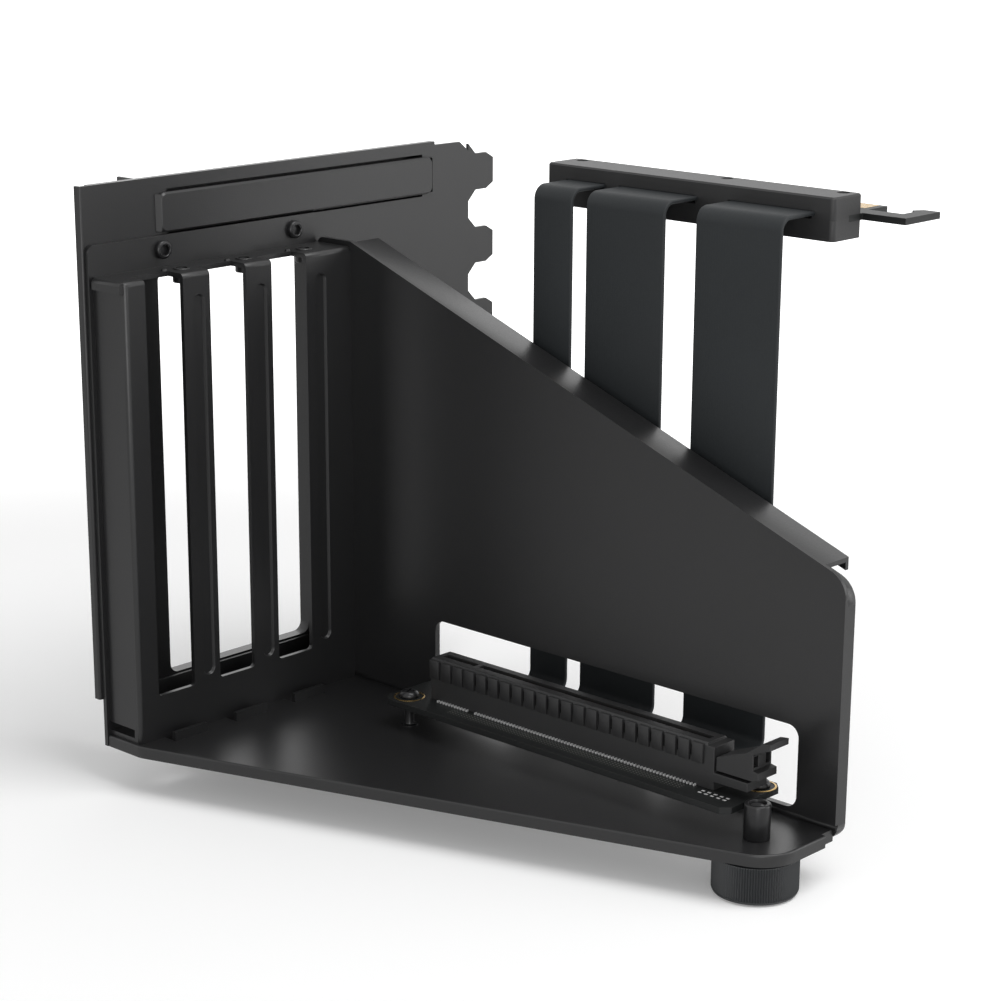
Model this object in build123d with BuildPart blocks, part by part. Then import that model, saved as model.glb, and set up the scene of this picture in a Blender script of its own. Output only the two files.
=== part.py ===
from build123d import *
from math import radians, tan
import os

# Vertical graphics card bracket. A slotted rear plate screws to a computer case and carries a
# pressed frame for the card's slot covers, a folded base with a triangular side wall, and a riser
# socket whose flat cables rise behind the wall to an edge plug. A thumb foot props the far end.
#
# Millimetres. +X runs along the card, away from the rear plate. +Y runs across the slots, from the
# frame's open side to the side wall. +Z is up. The origin is the middle of the case screw row.

os.makedirs("parts", exist_ok=True)

# Standard spacings
slot_pitch = 20.32
slot_count = 3
tab_count = 6
clearance = 0.05

# Rear plate
plate_thickness = 0.9
plate_width = 134.0
plate_foot = 9.3
plate_height = 129.1
plate_left_overhang = 2.2
plate_rim_depth = 2.0
plate_corner_cut = 3.4
rim_top_start = 3.2
rim_top_length = 117.6
tab_reach = 9.9
tab_height = 9.94
tab_tip_height = 6.8
tab_tip_cut = 2.8
tab_root_chamfer = 2.9
tab_first_height = 27.1
window_left = 21.0
window_width = 48.6
window_foot = 10.8
window_height = 104.4
window_radius = 2.5
window_rim_depth = 3.4
lance_width = 95.2
lance_start = 21.6
lance_corner = 2.0
lance_edge = 0.5
lance_slit_margin = 3.0
lance_height = 9.9
lance_rise = 1.3
lance_foot = 124.7
lance_slit = 0.7

# Case screw flange
flange_thickness = 1.1
flange_reach = 12.4
flange_leaf = 12.0
flange_top = 134.6
flange_foot = 10.4
flange_corner = 2.5
case_hole_radius = 2.0
case_screw_reach = 7.4
case_screw_step = 10.6

# Slot frame
frame_thickness = 1.2
frame_depth = 13.0
frame_width = 74.2
ledge_height = 116.6
frame_flange_top = 124.3
frame_flange_width = 73.0
frame_edge_overhang = 1.2
frame_flange_corner = 2.0
slot_width = 11.8
first_slot_centre = 12.2
slot_foot = 11.4
slot_top = 113.4
slot_radius = 1.0
rib_width = 3.8
rib_depth = 0.7
rib_foot = 13.0
rib_top = 111.0
rib_offset = 0.7
rib_taper = 30
ledge_notch_reach = 7.4
side_gap_height = 2.2
flap_height = 2.7
flap_margin = 1.3
flap_offset = 0.8
card_screw_offset = 10.6
card_screw_reach = 7.07
card_hole_radius = 1.4
card_boss_radius = 2.1
card_boss_height = 1.9
frame_screw_radius = 1.25
frame_screw_head_radius = 2.3
frame_screw_head_height = 1.5
frame_screw_chamfer = 0.6
frame_screw_height = 120.8
frame_screw_places = (21.6, 65.4)
hex_recess_radius = 1.0
hex_recess_depth = 0.8

# Base and rear wall, one folded plate
base_thickness = 3.0
base_rear_gap = 0.1
base_left_overhang = 1.0
base_length = 171.4
base_left_straight = 13.6
base_front_angle = 18.5
base_corner_radius = 10.0
base_left_radius = 6.0
base_edge_round = 0.5
bend_inner_radius = 1.0
wall_end = 171.4
wall_corner_radius = 4.0
relief_width = 2.4
relief_depth = 4.5
tongue_width = 10.6
tongue_rear = 10.4
tongue_front = 15.9
tongue_offset = 0.9
tongue_tab_height = 2.3
tongue_tab_thickness = 1.2

# Side panel
panel_thickness = 1.1
panel_start = 0.7
panel_foot = 1.4
panel_level_height = 117.9
panel_level_length = 12.3
panel_slope_angle = 20.08
panel_end = 171.5
panel_nose_radius = 6.5
panel_heel_radius = 2.0
panel_flange_depth = 9.8
panel_flange_start = 13.4
panel_flange_end = 165.0
panel_lip_height = 3.0
wall_top_gap = 1.7
opening_start = 43.4
opening_length = 116.8
opening_foot = 2.5
opening_height = 20.2
opening_radius = 3.0
wall_opening_margin = 2.4

# Thumb foot
foot_x = 160.7
foot_y = 58.9
barrel_radius = 3.1
barrel_height = 8.6
barrel_step = 0.4
barrel_chamfer = 0.3
stud_radius = 2.0
stud_top = 8.0
stud_chamfer = 0.4
knob_radius = 10.6
knob_top = 3.5
knob_height = 9.1
knob_flutes = 40
knob_flute_radius = 0.35
knob_chamfer = 0.8
pad_radius = 8.0
pad_height = 1.2
pad_proud = 0.3

# Riser board
board_start = 45.8
board_length = 111.0
board_front = 52.4
board_width = 21.5
board_thickness = 1.6
board_top = 7.6
board_corner = 2.0
board_hole_radius = 1.4
board_hole_inset_x = 4.7
board_hole_inset_y = 5.0
far_hole_inset_x = 3.7
far_hole_inset_y = 4.3
ring_radius = 3.7
ring_height = 0.1
standoff_radius = 2.2
screw_radius = 1.25
screw_head_radius = 2.5
screw_head_height = 1.6
screw_length = 5.2
screw_head_chamfer = 0.6
cross_width = 0.5
cross_span = 2.7
cross_depth = 0.7

# Card socket on the board
socket_start = 56.1
socket_length = 89.0
socket_front = 59.6
socket_width = 7.5
socket_height = 11.2
card_slot_width = 1.9
card_slot_depth = 8.6
card_slot_margin = 1.6
card_key_offset = 13.2
card_key_width = 1.6
socket_chamfer = 0.6
post_length = 2.2
shelf_length = 11.9
shelf_foot = 9.8
shelf_top = 12.0
pivot_tongue_thickness = 2.2
pivot_tongue_radius = 1.6
contact_pitch = 1.0
short_bank = 11
long_bank = 71
bank_gap = 3.0
first_contact = 3.0
tail_length = 0.8
tail_width = 0.4
tail_height = 0.5
cell_pitch = 3.7
cell_width = 2.9
cell_height = 2.6
cell_depth = 0.5
cell_drop = 1.4

# Socket latch, outline measured from its pivot
latch_pivot_x = 155.0
latch_pivot_height = 14.6
latch_pin_radius = 0.9
latch_inset = 0.2
latch_heel = 7.3
latch_foot = 1.9
latch_sole = 3.4
latch_lip_x = 4.8
latch_lip_foot = 1.4
latch_lip_top = 0.4
latch_face_x = 3.2
latch_face_foot = 0.7
latch_face_top = 4.5
latch_tip_x = 7.9
latch_tip_z = 6.6
latch_tip_top = 8.1
latch_crest_x = 5.6
latch_crest_z = 7.8
latch_brow_x = 1.5
latch_brow_z = 4.7
latch_shoulder_z = 1.3
latch_slot_reach = 2.5
latch_slot_side_gap = 0.1
latch_slot_top = 1.9
latch_window_width = 1.6
latch_window_height = 2.6
latch_window_depth = 1.4
latch_window_offset = 2.2

# Flat cables and edge plug
ribbon_thickness = 1.0
ribbon_plane = 88.0
ribbon_bend_radius = 4.0
ribbons = ((64.3, 12.1), (81.4, 23.2), (115.2, 23.6))
ribbon_board_overlap = 3.0
plug_start = 57.6
plug_length = 87.8
plug_front = 100.0
plug_depth = 11.2
plug_foot = 129.7
plug_height = 10.2
plug_wall = 1.4
plug_split = 4.0
plug_corner_radius = 1.2
plug_board_thickness = 1.6
plug_board_front_gap = 2.2
plug_board_margin = 2.0
finger_reach = 13.0
finger_length = 6.0
finger_width = 0.7
finger_height = 0.05
finger_margin = 0.6
finger_first = 1.5
plug_key_offset = 12.8
plug_key_width = 1.9
plug_key_depth = 8.0
hook_slot_start = 6.0
hook_reach = 12.0
hook_width = 4.5
hook_depth = 5.4
hook_tip = 14.0
hook_barb = 1.6
hook_barb_tip = 2.5
hook_barb_root = 4.0
ribbon_slot_gap = 0.1
ribbon_slot_side = 0.4
plug_screw_radius = 0.8
plug_screw_head_radius = 1.5
plug_screw_recess = 1.9
plug_screw_places = (4.0, 50.0, 84.0)
plug_screw_inset = 2.4
plug_screw_head_height = 1.2
plug_screw_gap = 0.2
plug_board_screw_gap = 0.3
plug_top_chamfer = 0.4
plug_cavity_gap = 0.2

# Datums
plate_front_x = case_screw_reach
frame_left_y = -(window_left - plate_thickness - flange_thickness)
tab_middle_height = tab_first_height + slot_pitch * (tab_count - 1) / 2
base_top_z = -(tab_middle_height - case_screw_step)


def from_plate(distance):
    return plate_front_x + distance


def from_left(distance):
    return frame_left_y + distance


def above_base(height):
    return base_top_z + height


def edges_near(part, direction, x=None, y=None, z=None, reach=0.01):
    """Edges along a direction whose middle lies at the given coordinates."""
    found = part.edges().filter_by(direction)
    for value, name in ((x, "X"), (y, "Y"), (z, "Z")):
        if value is not None:
            found = found.filter_by(lambda e: abs(getattr(e.center(), name) - value) < reach)
    return found


plate_back_x = from_plate(-plate_thickness)
plate_left_y = from_left(-plate_left_overhang)
plate_right_y = plate_left_y + plate_width
plate_foot_z = above_base(plate_foot)
plate_top_z = plate_foot_z + plate_height
wall_front_y = from_left(frame_width) + panel_thickness
wall_back_y = wall_front_y + base_thickness

# Rear plate, with tabs for the case's slot edge
tab_side = tab_height / 2
tab_root_side = tab_side + tab_root_chamfer
plate_outline = [
    (plate_left_y, plate_top_z),
    (plate_left_y, plate_foot_z),
    (plate_right_y, plate_foot_z),
]
for index in range(tab_count):
    tab_z = above_base(tab_first_height + slot_pitch * index)
    tab_end_y = plate_right_y + tab_reach
    plate_outline += [
        (plate_right_y, tab_z - tab_root_side),
        (plate_right_y + tab_root_chamfer, tab_z - tab_side),
        (tab_end_y - tab_tip_cut, tab_z - tab_side),
        (tab_end_y, tab_z - tab_tip_height / 2),
        (tab_end_y, tab_z + tab_tip_height / 2),
        (tab_end_y - tab_tip_cut, tab_z + tab_side),
        (plate_right_y + tab_root_chamfer, tab_z + tab_side),
        (plate_right_y, tab_z + tab_root_side),
    ]
plate_outline += [
    (plate_right_y, plate_top_z - plate_rim_depth - plate_corner_cut / 2),
    (plate_right_y - plate_corner_cut, plate_top_z - plate_rim_depth / 2),
]
window_centre = (
    from_left(window_left + window_width / 2),
    above_base(window_foot + window_height / 2),
)
lance_centre = (
    from_left(lance_start + lance_width / 2),
    above_base(lance_foot + lance_height / 2),
)
frame_screw_centres = [
    (from_left(place), above_base(frame_screw_height)) for place in frame_screw_places
]

with BuildPart() as rear_plate:
    with BuildSketch(Plane.YZ.offset(plate_back_x)):
        with BuildLine():
            Polyline(*plate_outline, close=True)
        make_face()
    extrude(amount=plate_thickness)
    with BuildSketch(Plane.YZ.offset(from_plate(-plate_rim_depth))):
        with Locations((plate_left_y + plate_thickness / 2, (plate_foot_z + plate_top_z) / 2)):
            Rectangle(plate_thickness, plate_height)
        with Locations((plate_left_y + rim_top_start + rim_top_length / 2, plate_top_z - plate_thickness / 2)):
            Rectangle(rim_top_length, plate_thickness)
    extrude(amount=plate_rim_depth)
    with BuildSketch(Plane.YZ.offset(from_plate(-window_rim_depth))):
        with Locations(window_centre):
            RectangleRounded(
                window_width + 2 * plate_thickness,
                window_height + 2 * plate_thickness,
                window_radius + plate_thickness,
            )
    extrude(amount=window_rim_depth)
    with BuildSketch(Plane.YZ.offset(from_plate(-window_rim_depth))):
        with Locations(window_centre):
            RectangleRounded(window_width, window_height, window_radius)
    extrude(amount=window_rim_depth, mode=Mode.SUBTRACT)
    with BuildSketch(Plane.YZ.offset(plate_back_x)):
        with Locations(lance_centre):
            RectangleRounded(lance_width, lance_height, lance_corner)
    extrude(amount=plate_thickness + lance_rise)
    with BuildSketch(Plane.YZ.offset(plate_back_x)):
        with Locations(lance_centre):
            RectangleRounded(
                lance_width - 2 * plate_thickness,
                lance_height - 2 * plate_thickness,
                lance_corner - plate_thickness,
            )
    extrude(amount=lance_rise, mode=Mode.SUBTRACT)
    with BuildSketch(Plane.YZ.offset(plate_back_x)):
        for side in (-1, 1):
            slit_z = lance_centre[1] + side * (lance_height + lance_slit) / 2
            with Locations((lance_centre[0], slit_z)):
                Rectangle(lance_width - 2 * lance_slit_margin, lance_slit)
    extrude(amount=plate_thickness, mode=Mode.SUBTRACT)
    with BuildSketch(Plane.YZ.offset(plate_back_x)):
        with Locations(*frame_screw_centres):
            Circle(frame_screw_radius)
    extrude(amount=plate_thickness, mode=Mode.SUBTRACT)
    fillet(edges_near(rear_plate, Axis.Z, x=plate_front_x, y=plate_left_y), plate_thickness * 0.7)
    chamfer(rear_plate.faces().sort_by(Axis.X)[-1].edges(), lance_edge)
rear_plate.part.label = "rear_plate"
export_step(rear_plate.part, "parts/rear_plate.step")

# Case screw flange, an angle whose leaf lies on the back of the rear plate
flange_inner_y = frame_left_y + window_left - plate_thickness
flange_height = flange_top - flange_foot

with BuildPart() as case_flange:
    with BuildSketch(Plane.XY.offset(above_base(flange_foot))):
        with BuildLine():
            Polyline(
                (plate_back_x, flange_inner_y - flange_leaf),
                (plate_back_x, flange_inner_y),
                (from_plate(-flange_reach), flange_inner_y),
                (from_plate(-flange_reach), flange_inner_y - flange_thickness),
                (plate_back_x - flange_thickness, flange_inner_y - flange_thickness),
                (plate_back_x - flange_thickness, flange_inner_y - flange_leaf),
                close=True,
            )
        make_face()
    extrude(amount=flange_height)
    fillet(edges_near(case_flange, Axis.Z, x=plate_back_x, y=flange_inner_y), flange_thickness)
    outer_corners = edges_near(case_flange, Axis.Y, x=from_plate(-flange_reach))
    fillet(outer_corners, flange_corner)
    with Locations(Plane.XZ.offset(-flange_inner_y)):
        with GridLocations(1, slot_pitch, 1, tab_count):
            Hole(case_hole_radius)
case_flange.part.label = "case_flange"
export_step(case_flange.part, "parts/case_flange.step")

# Slot frame, a pressed tray open towards the rear plate
frame_front_x = from_plate(frame_depth)
frame_right_y = from_left(frame_width)
ledge_top_z = above_base(ledge_height)
slot_centres = [from_left(first_slot_centre + slot_pitch * index) for index in range(slot_count)]
rib_centres = [centre + slot_pitch / 2 + rib_offset for centre in slot_centres]
card_screw_centres = [
    (from_plate(card_screw_reach), centre + card_screw_offset) for centre in slot_centres
]

with BuildPart() as slot_frame:
    with BuildSketch(Plane.XY.offset(base_top_z)):
        with Locations((from_plate(frame_depth / 2), from_left(frame_width / 2))):
            Rectangle(frame_depth, frame_width)
    extrude(amount=ledge_height)
    fillet(
        edges_near(slot_frame, Axis.Z, x=frame_front_x, y=frame_left_y)
        + edges_near(slot_frame, Axis.Y, x=frame_front_x, z=ledge_top_z),
        frame_thickness,
    )
    with BuildSketch(Plane.XY.offset(above_base(frame_thickness))):
        with Locations((from_plate((frame_depth - frame_thickness) / 2), from_left(frame_width / 2))):
            Rectangle(frame_depth - frame_thickness, frame_width - 2 * frame_thickness)
    extrude(amount=ledge_height - 2 * frame_thickness, mode=Mode.SUBTRACT)
    with BuildSketch(Plane.YZ.offset(from_plate(frame_depth - frame_thickness))):
        with Locations(*[(centre, above_base(slot_foot + ledge_height / 2)) for centre in slot_centres]):
            RectangleRounded(slot_width, ledge_height, slot_radius)
    extrude(amount=frame_thickness, mode=Mode.SUBTRACT)
    with BuildSketch(Plane.XY.offset(above_base(slot_top))):
        notch_x = from_plate((ledge_notch_reach + frame_depth) / 2)
        with Locations(*[(notch_x, centre) for centre in slot_centres]):
            Rectangle(frame_depth - ledge_notch_reach, slot_width)
    extrude(amount=ledge_height - slot_top, mode=Mode.SUBTRACT)
    with BuildSketch(Plane.XY.offset(above_base(frame_thickness))):
        gap_depth = frame_depth - 3 * frame_thickness
        with Locations((from_plate(frame_thickness + gap_depth / 2), from_left(frame_thickness / 2))):
            Rectangle(gap_depth, frame_thickness)
    extrude(amount=side_gap_height, mode=Mode.SUBTRACT)
    with BuildSketch(Plane.YZ.offset(frame_front_x)):
        for centre in rib_centres:
            with Locations((centre, above_base((rib_foot + rib_top) / 2))):
                SlotOverall(rib_top - rib_foot, rib_width, rotation=90)
    extrude(amount=-rib_depth, taper=rib_taper, mode=Mode.SUBTRACT)
    with BuildSketch(Plane.YZ.offset(plate_front_x)):
        flange_right = from_left(frame_flange_width)
        flange_left = from_left(-frame_edge_overhang)
        with BuildLine():
            Polyline(
                (flange_left, above_base(-base_thickness)),
                (flange_right, above_base(-base_thickness)),
                (flange_right, above_base(frame_thickness)),
                (from_left(frame_thickness), above_base(frame_thickness)),
                (from_left(frame_thickness), above_base(ledge_height - frame_thickness)),
                (flange_right, above_base(ledge_height - frame_thickness)),
                (flange_right, above_base(frame_flange_top)),
                (flange_left, above_base(frame_flange_top)),
                close=True,
            )
        make_face()
    extrude(amount=frame_thickness)
    fillet(
        edges_near(slot_frame, Axis.X, y=flange_left, z=above_base(frame_flange_top)),
        frame_flange_corner,
    )
    flap_middle = (from_plate(frame_depth / 2 + flap_offset), above_base(ledge_height - flap_height / 2))
    with BuildSketch(Plane.XZ.offset(-frame_left_y)):
        with Locations(flap_middle):
            Rectangle(frame_depth - 2 * flap_margin, flap_height)
    extrude(amount=frame_thickness)
    fillet(edges_near(slot_frame, Axis.X, y=from_left(-frame_thickness), z=ledge_top_z), frame_thickness * 0.9)
    with BuildSketch(Plane.XY.offset(above_base(ledge_height - frame_thickness))):
        with Locations(*card_screw_centres):
            Circle(card_boss_radius)
    extrude(amount=-card_boss_height)
    with BuildSketch(Plane.XY.offset(ledge_top_z)):
        with Locations(*card_screw_centres):
            Circle(card_hole_radius)
    extrude(amount=-(frame_thickness + card_boss_height), mode=Mode.SUBTRACT)
    with BuildSketch(Plane.YZ.offset(plate_front_x)):
        with Locations(*frame_screw_centres):
            Circle(frame_screw_radius)
    extrude(amount=frame_thickness, mode=Mode.SUBTRACT)
slot_frame.part.label = "slot_frame"
export_step(slot_frame.part, "parts/slot_frame.step")

# Button screws that hold the frame to the rear plate
with BuildPart() as frame_screws:
    with BuildSketch(Plane.YZ.offset(plate_back_x)):
        with Locations(*frame_screw_centres):
            Circle(frame_screw_radius - clearance)
    extrude(amount=plate_thickness + frame_thickness)
    with BuildSketch(Plane.YZ.offset(from_plate(frame_thickness))):
        with Locations(*frame_screw_centres):
            Circle(frame_screw_head_radius)
    extrude(amount=frame_screw_head_height)
    screw_head_x = from_plate(frame_thickness + frame_screw_head_height)
    chamfer(frame_screws.faces().filter_by(Plane.YZ).group_by(Axis.X)[-1].edges(), frame_screw_chamfer)
    with BuildSketch(Plane.YZ.offset(screw_head_x)):
        with Locations(*frame_screw_centres):
            RegularPolygon(hex_recess_radius, 6)
    extrude(amount=-hex_recess_depth, mode=Mode.SUBTRACT)
frame_screws.part.label = "frame_screws"
export_step(frame_screws.part, "parts/frame_screws.step")

# Base and rear wall, folded from one thick plate
base_rear_x = from_plate(frame_thickness + base_rear_gap)
base_left_y = from_left(-base_left_overhang)
base_end_x = from_plate(base_length)
base_slope = tan(radians(base_front_angle))
base_nose_y = base_left_y + (base_length - base_left_straight) * base_slope
wall_slope = tan(radians(panel_slope_angle))
slope_start = panel_start + panel_level_length


def panel_top(distance):
    """Height of the side panel's sloping edge at a distance from the rear plate."""
    return panel_level_height - (distance - slope_start) * wall_slope


wall_corner_height = panel_top(wall_end) - wall_top_gap
opening_centre = (
    from_plate(opening_start + opening_length / 2),
    above_base(opening_foot + opening_height / 2),
)
tongue_centres = [
    (from_plate((tongue_rear + tongue_front) / 2), centre + tongue_offset) for centre in slot_centres
]

with BuildPart() as base_plate:
    with BuildSketch(Plane.XY.offset(above_base(-base_thickness))) as base_outline:
        with BuildLine():
            Polyline(
                (base_rear_x, base_left_y),
                (from_plate(base_left_straight), base_left_y),
                (base_end_x, base_nose_y),
                (base_end_x, wall_back_y),
                (base_rear_x, wall_back_y),
                close=True,
            )
        make_face()
        nose = base_outline.vertices().group_by(Axis.X)[-1].sort_by(Axis.Y)[0]
        fillet(nose, base_corner_radius)
        knee = base_outline.vertices().group_by(Axis.Y)[0].sort_by(Axis.X)[-1]
        fillet(knee, base_left_radius)
    extrude(amount=base_thickness)
    with BuildSketch(Plane.XZ.offset(-wall_back_y)):
        with BuildLine():
            Polyline(
                (base_rear_x, above_base(-base_thickness)),
                (from_plate(wall_end), above_base(-base_thickness)),
                (from_plate(wall_end), above_base(wall_corner_height)),
                (from_plate(panel_flange_start), above_base(panel_top(panel_flange_start) - wall_top_gap)),
                (base_rear_x, above_base(panel_level_height - wall_top_gap)),
                close=True,
            )
        make_face()
    extrude(amount=base_thickness)
    fillet(
        edges_near(base_plate, Axis.Y, x=from_plate(wall_end), z=above_base(wall_corner_height)),
        panel_nose_radius,
    )
    fillet(edges_near(base_plate, Axis.X, y=wall_front_y, z=base_top_z), bend_inner_radius)
    fillet(
        edges_near(base_plate, Axis.X, y=wall_back_y, z=above_base(-base_thickness)),
        bend_inner_radius + base_thickness * 0.6,
    )
    with BuildSketch(Plane.XZ.offset(-wall_back_y)):
        with Locations(opening_centre):
            RectangleRounded(
                opening_length + 2 * wall_opening_margin,
                opening_height + wall_opening_margin,
                opening_radius,
            )
    extrude(amount=base_thickness, mode=Mode.SUBTRACT)
    with BuildSketch(Plane.XY.offset(above_base(-base_thickness))):
        with Locations((base_end_x, wall_front_y - relief_depth / 2)):
            Rectangle(relief_width, relief_depth)
    extrude(amount=base_thickness, mode=Mode.SUBTRACT)
    with BuildSketch(Plane.XZ.offset(-wall_back_y)):
        corner_x = from_plate(wall_end - wall_corner_radius / 2)
        corner_z = above_base(wall_corner_radius / 2 - base_thickness)
        with Locations((corner_x, corner_z)):
            Rectangle(wall_corner_radius, wall_corner_radius)
        with Locations((from_plate(wall_end - wall_corner_radius), above_base(wall_corner_radius - base_thickness))):
            Circle(wall_corner_radius, mode=Mode.SUBTRACT)
    extrude(amount=base_thickness, mode=Mode.SUBTRACT)
    free_edges = base_plate.edges().filter_by(
        lambda e: abs(e.center().Z - base_top_z) < 0.01
        and e.center().Y < wall_front_y - relief_depth - 0.01
        and e.center().X > base_rear_x + 0.01
    )
    fillet(free_edges, base_edge_round)
    with BuildSketch(Plane.XY.offset(above_base(-base_thickness))):
        with Locations(*tongue_centres):
            Rectangle(tongue_front - tongue_rear, tongue_width)
    extrude(amount=base_thickness, mode=Mode.SUBTRACT)
    with BuildSketch(Plane.XY.offset(base_top_z)):
        for centre in tongue_centres:
            with Locations((from_plate(tongue_front + tongue_tab_thickness / 2), centre[1])):
                Rectangle(tongue_tab_thickness, tongue_width)
    extrude(amount=tongue_tab_height)
    with Locations((from_plate(foot_x), from_left(foot_y), base_top_z)):
        Hole(barrel_radius - barrel_step)
base_plate.part.label = "base_plate"
export_step(base_plate.part, "parts/base_plate.step")

# Thin side panel in front of the wall, with a flange folded back over it
panel_front_y = frame_right_y
panel_slope_end = panel_top(panel_end)

with BuildPart() as side_panel:
    with BuildSketch(Plane.XZ.offset(-wall_front_y)) as panel_face:
        with BuildLine():
            Polyline(
                (from_plate(panel_start), above_base(panel_foot)),
                (from_plate(panel_end), above_base(panel_foot)),
                (from_plate(panel_end), above_base(panel_slope_end)),
                (from_plate(slope_start), above_base(panel_level_height)),
                (from_plate(panel_start), above_base(panel_level_height)),
                close=True,
            )
        make_face()
        panel_nose = panel_face.vertices().group_by(Axis.X)[-1].sort_by(Axis.Y)[-1]
        fillet(panel_nose, panel_nose_radius)
        panel_heel = panel_face.vertices().group_by(Axis.X)[0].sort_by(Axis.Y)[-1]
        fillet(panel_heel, panel_heel_radius)
        with Locations(opening_centre):
            RectangleRounded(opening_length, opening_height, opening_radius, mode=Mode.SUBTRACT)
    extrude(amount=panel_thickness)
    with BuildSketch(Plane.XZ.offset(-(panel_front_y + panel_flange_depth))):
        with BuildLine():
            Polyline(
                (from_plate(panel_flange_start), above_base(panel_top(panel_flange_start))),
                (from_plate(panel_flange_end), above_base(panel_top(panel_flange_end))),
                (from_plate(panel_flange_end), above_base(panel_top(panel_flange_end) - panel_thickness)),
                (from_plate(panel_flange_start), above_base(panel_top(panel_flange_start) - panel_thickness)),
                close=True,
            )
        make_face()
    extrude(amount=panel_flange_depth)
    with BuildSketch(Plane.XZ.offset(-(panel_front_y + panel_flange_depth))):
        with BuildLine():
            Polyline(
                (from_plate(panel_flange_start), above_base(panel_top(panel_flange_start))),
                (from_plate(panel_flange_end), above_base(panel_top(panel_flange_end))),
                (from_plate(panel_flange_end), above_base(panel_top(panel_flange_end) - panel_lip_height)),
                (from_plate(panel_flange_start), above_base(panel_top(panel_flange_start) - panel_lip_height)),
                close=True,
            )
        make_face()
    extrude(amount=panel_thickness)
side_panel.part.label = "side_panel"
export_step(side_panel.part, "parts/side_panel.step")

# Thumb foot: a barrel nut pressed into the base, a stud and a fluted knob with a rubber pad
foot_centre = (from_plate(foot_x), from_left(foot_y))
knob_top_z = above_base(-knob_top)
knob_foot_z = knob_top_z - knob_height

with BuildPart() as foot_barrel:
    with BuildSketch(Plane.XY.offset(base_top_z)):
        with Locations(foot_centre):
            Circle(barrel_radius)
    extrude(amount=barrel_height)
    with BuildSketch(Plane.XY.offset(above_base(-base_thickness))):
        with Locations(foot_centre):
            Circle(barrel_radius - barrel_step)
    extrude(amount=base_thickness)
    chamfer(foot_barrel.faces().sort_by(Axis.Z)[-1].edges(), barrel_chamfer)
    with Locations((*foot_centre, above_base(barrel_height))):
        Hole(stud_radius + clearance)
foot_barrel.part.label = "foot_barrel"
export_step(foot_barrel.part, "parts/foot_barrel.step")

with BuildPart() as foot_stud:
    with BuildSketch(Plane.XY.offset(knob_foot_z + pad_height)):
        with Locations(foot_centre):
            Circle(stud_radius)
    extrude(amount=above_base(stud_top) - knob_foot_z - pad_height)
    chamfer(foot_stud.faces().sort_by(Axis.Z)[-1].edges(), stud_chamfer)
foot_stud.part.label = "foot_stud"
export_step(foot_stud.part, "parts/foot_stud.step")

with BuildPart() as foot_knob:
    with BuildSketch(Plane.XY.offset(knob_foot_z)):
        with Locations(foot_centre):
            Circle(knob_radius)
    extrude(amount=knob_height)
    chamfer(foot_knob.edges().filter_by(GeomType.CIRCLE), knob_chamfer)
    with BuildSketch(Plane.XY.offset(knob_foot_z + knob_chamfer)):
        with Locations(foot_centre):
            with PolarLocations(knob_radius + knob_flute_radius * 0.4, knob_flutes):
                RegularPolygon(knob_flute_radius, 4)
    extrude(amount=knob_height - 2 * knob_chamfer, mode=Mode.SUBTRACT)
    with BuildSketch(Plane.XY.offset(knob_foot_z)):
        with Locations(foot_centre):
            Circle(pad_radius)
    extrude(amount=pad_height, mode=Mode.SUBTRACT)
    with BuildSketch(Plane.XY.offset(knob_top_z)):
        with Locations(foot_centre):
            Circle(stud_radius + clearance)
    extrude(amount=-knob_height, mode=Mode.SUBTRACT)
foot_knob.part.label = "foot_knob"
export_step(foot_knob.part, "parts/foot_knob.step")

with BuildPart() as foot_pad:
    with BuildSketch(Plane.XY.offset(knob_foot_z - pad_proud)):
        with Locations(foot_centre):
            Circle(pad_radius)
    extrude(amount=pad_height + pad_proud)
    chamfer(foot_pad.edges().filter_by(GeomType.CIRCLE).sort_by(Axis.Z)[0], pad_proud)
foot_pad.part.label = "foot_pad"
export_step(foot_pad.part, "parts/foot_pad.step")

# Riser board on two standoffs
board_start_x = from_plate(board_start)
board_end_x = board_start_x + board_length
board_front_y = from_left(board_front)
board_back_y = board_front_y + board_width
board_foot = board_top - board_thickness
board_holes = [
    (board_start_x + board_hole_inset_x, board_front_y + board_hole_inset_y),
    (board_end_x - far_hole_inset_x, board_back_y - far_hole_inset_y),
]

with BuildPart() as riser_board:
    with BuildSketch(Plane.XY.offset(above_base(board_foot))) as board_outline:
        with Locations((board_start_x + board_length / 2, board_front_y + board_width / 2)):
            Rectangle(board_length, board_width)
        chamfer(board_outline.vertices(), board_corner)
        with Locations(*board_holes):
            Circle(board_hole_radius, mode=Mode.SUBTRACT)
    extrude(amount=board_thickness)
riser_board.part.label = "riser_board"
export_step(riser_board.part, "parts/riser_board.step")

with BuildPart() as board_rings:
    with BuildSketch(Plane.XY.offset(above_base(board_top))):
        with Locations(*board_holes):
            Circle(ring_radius)
            Circle(board_hole_radius, mode=Mode.SUBTRACT)
    extrude(amount=ring_height)
board_rings.part.label = "board_rings"
export_step(board_rings.part, "parts/board_rings.step")

with BuildPart() as board_standoffs:
    with BuildSketch(Plane.XY.offset(base_top_z)):
        with Locations(*board_holes):
            Circle(standoff_radius)
            Circle(screw_radius + clearance / 2, mode=Mode.SUBTRACT)
    extrude(amount=board_foot)
board_standoffs.part.label = "board_standoffs"
export_step(board_standoffs.part, "parts/board_standoffs.step")

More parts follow.
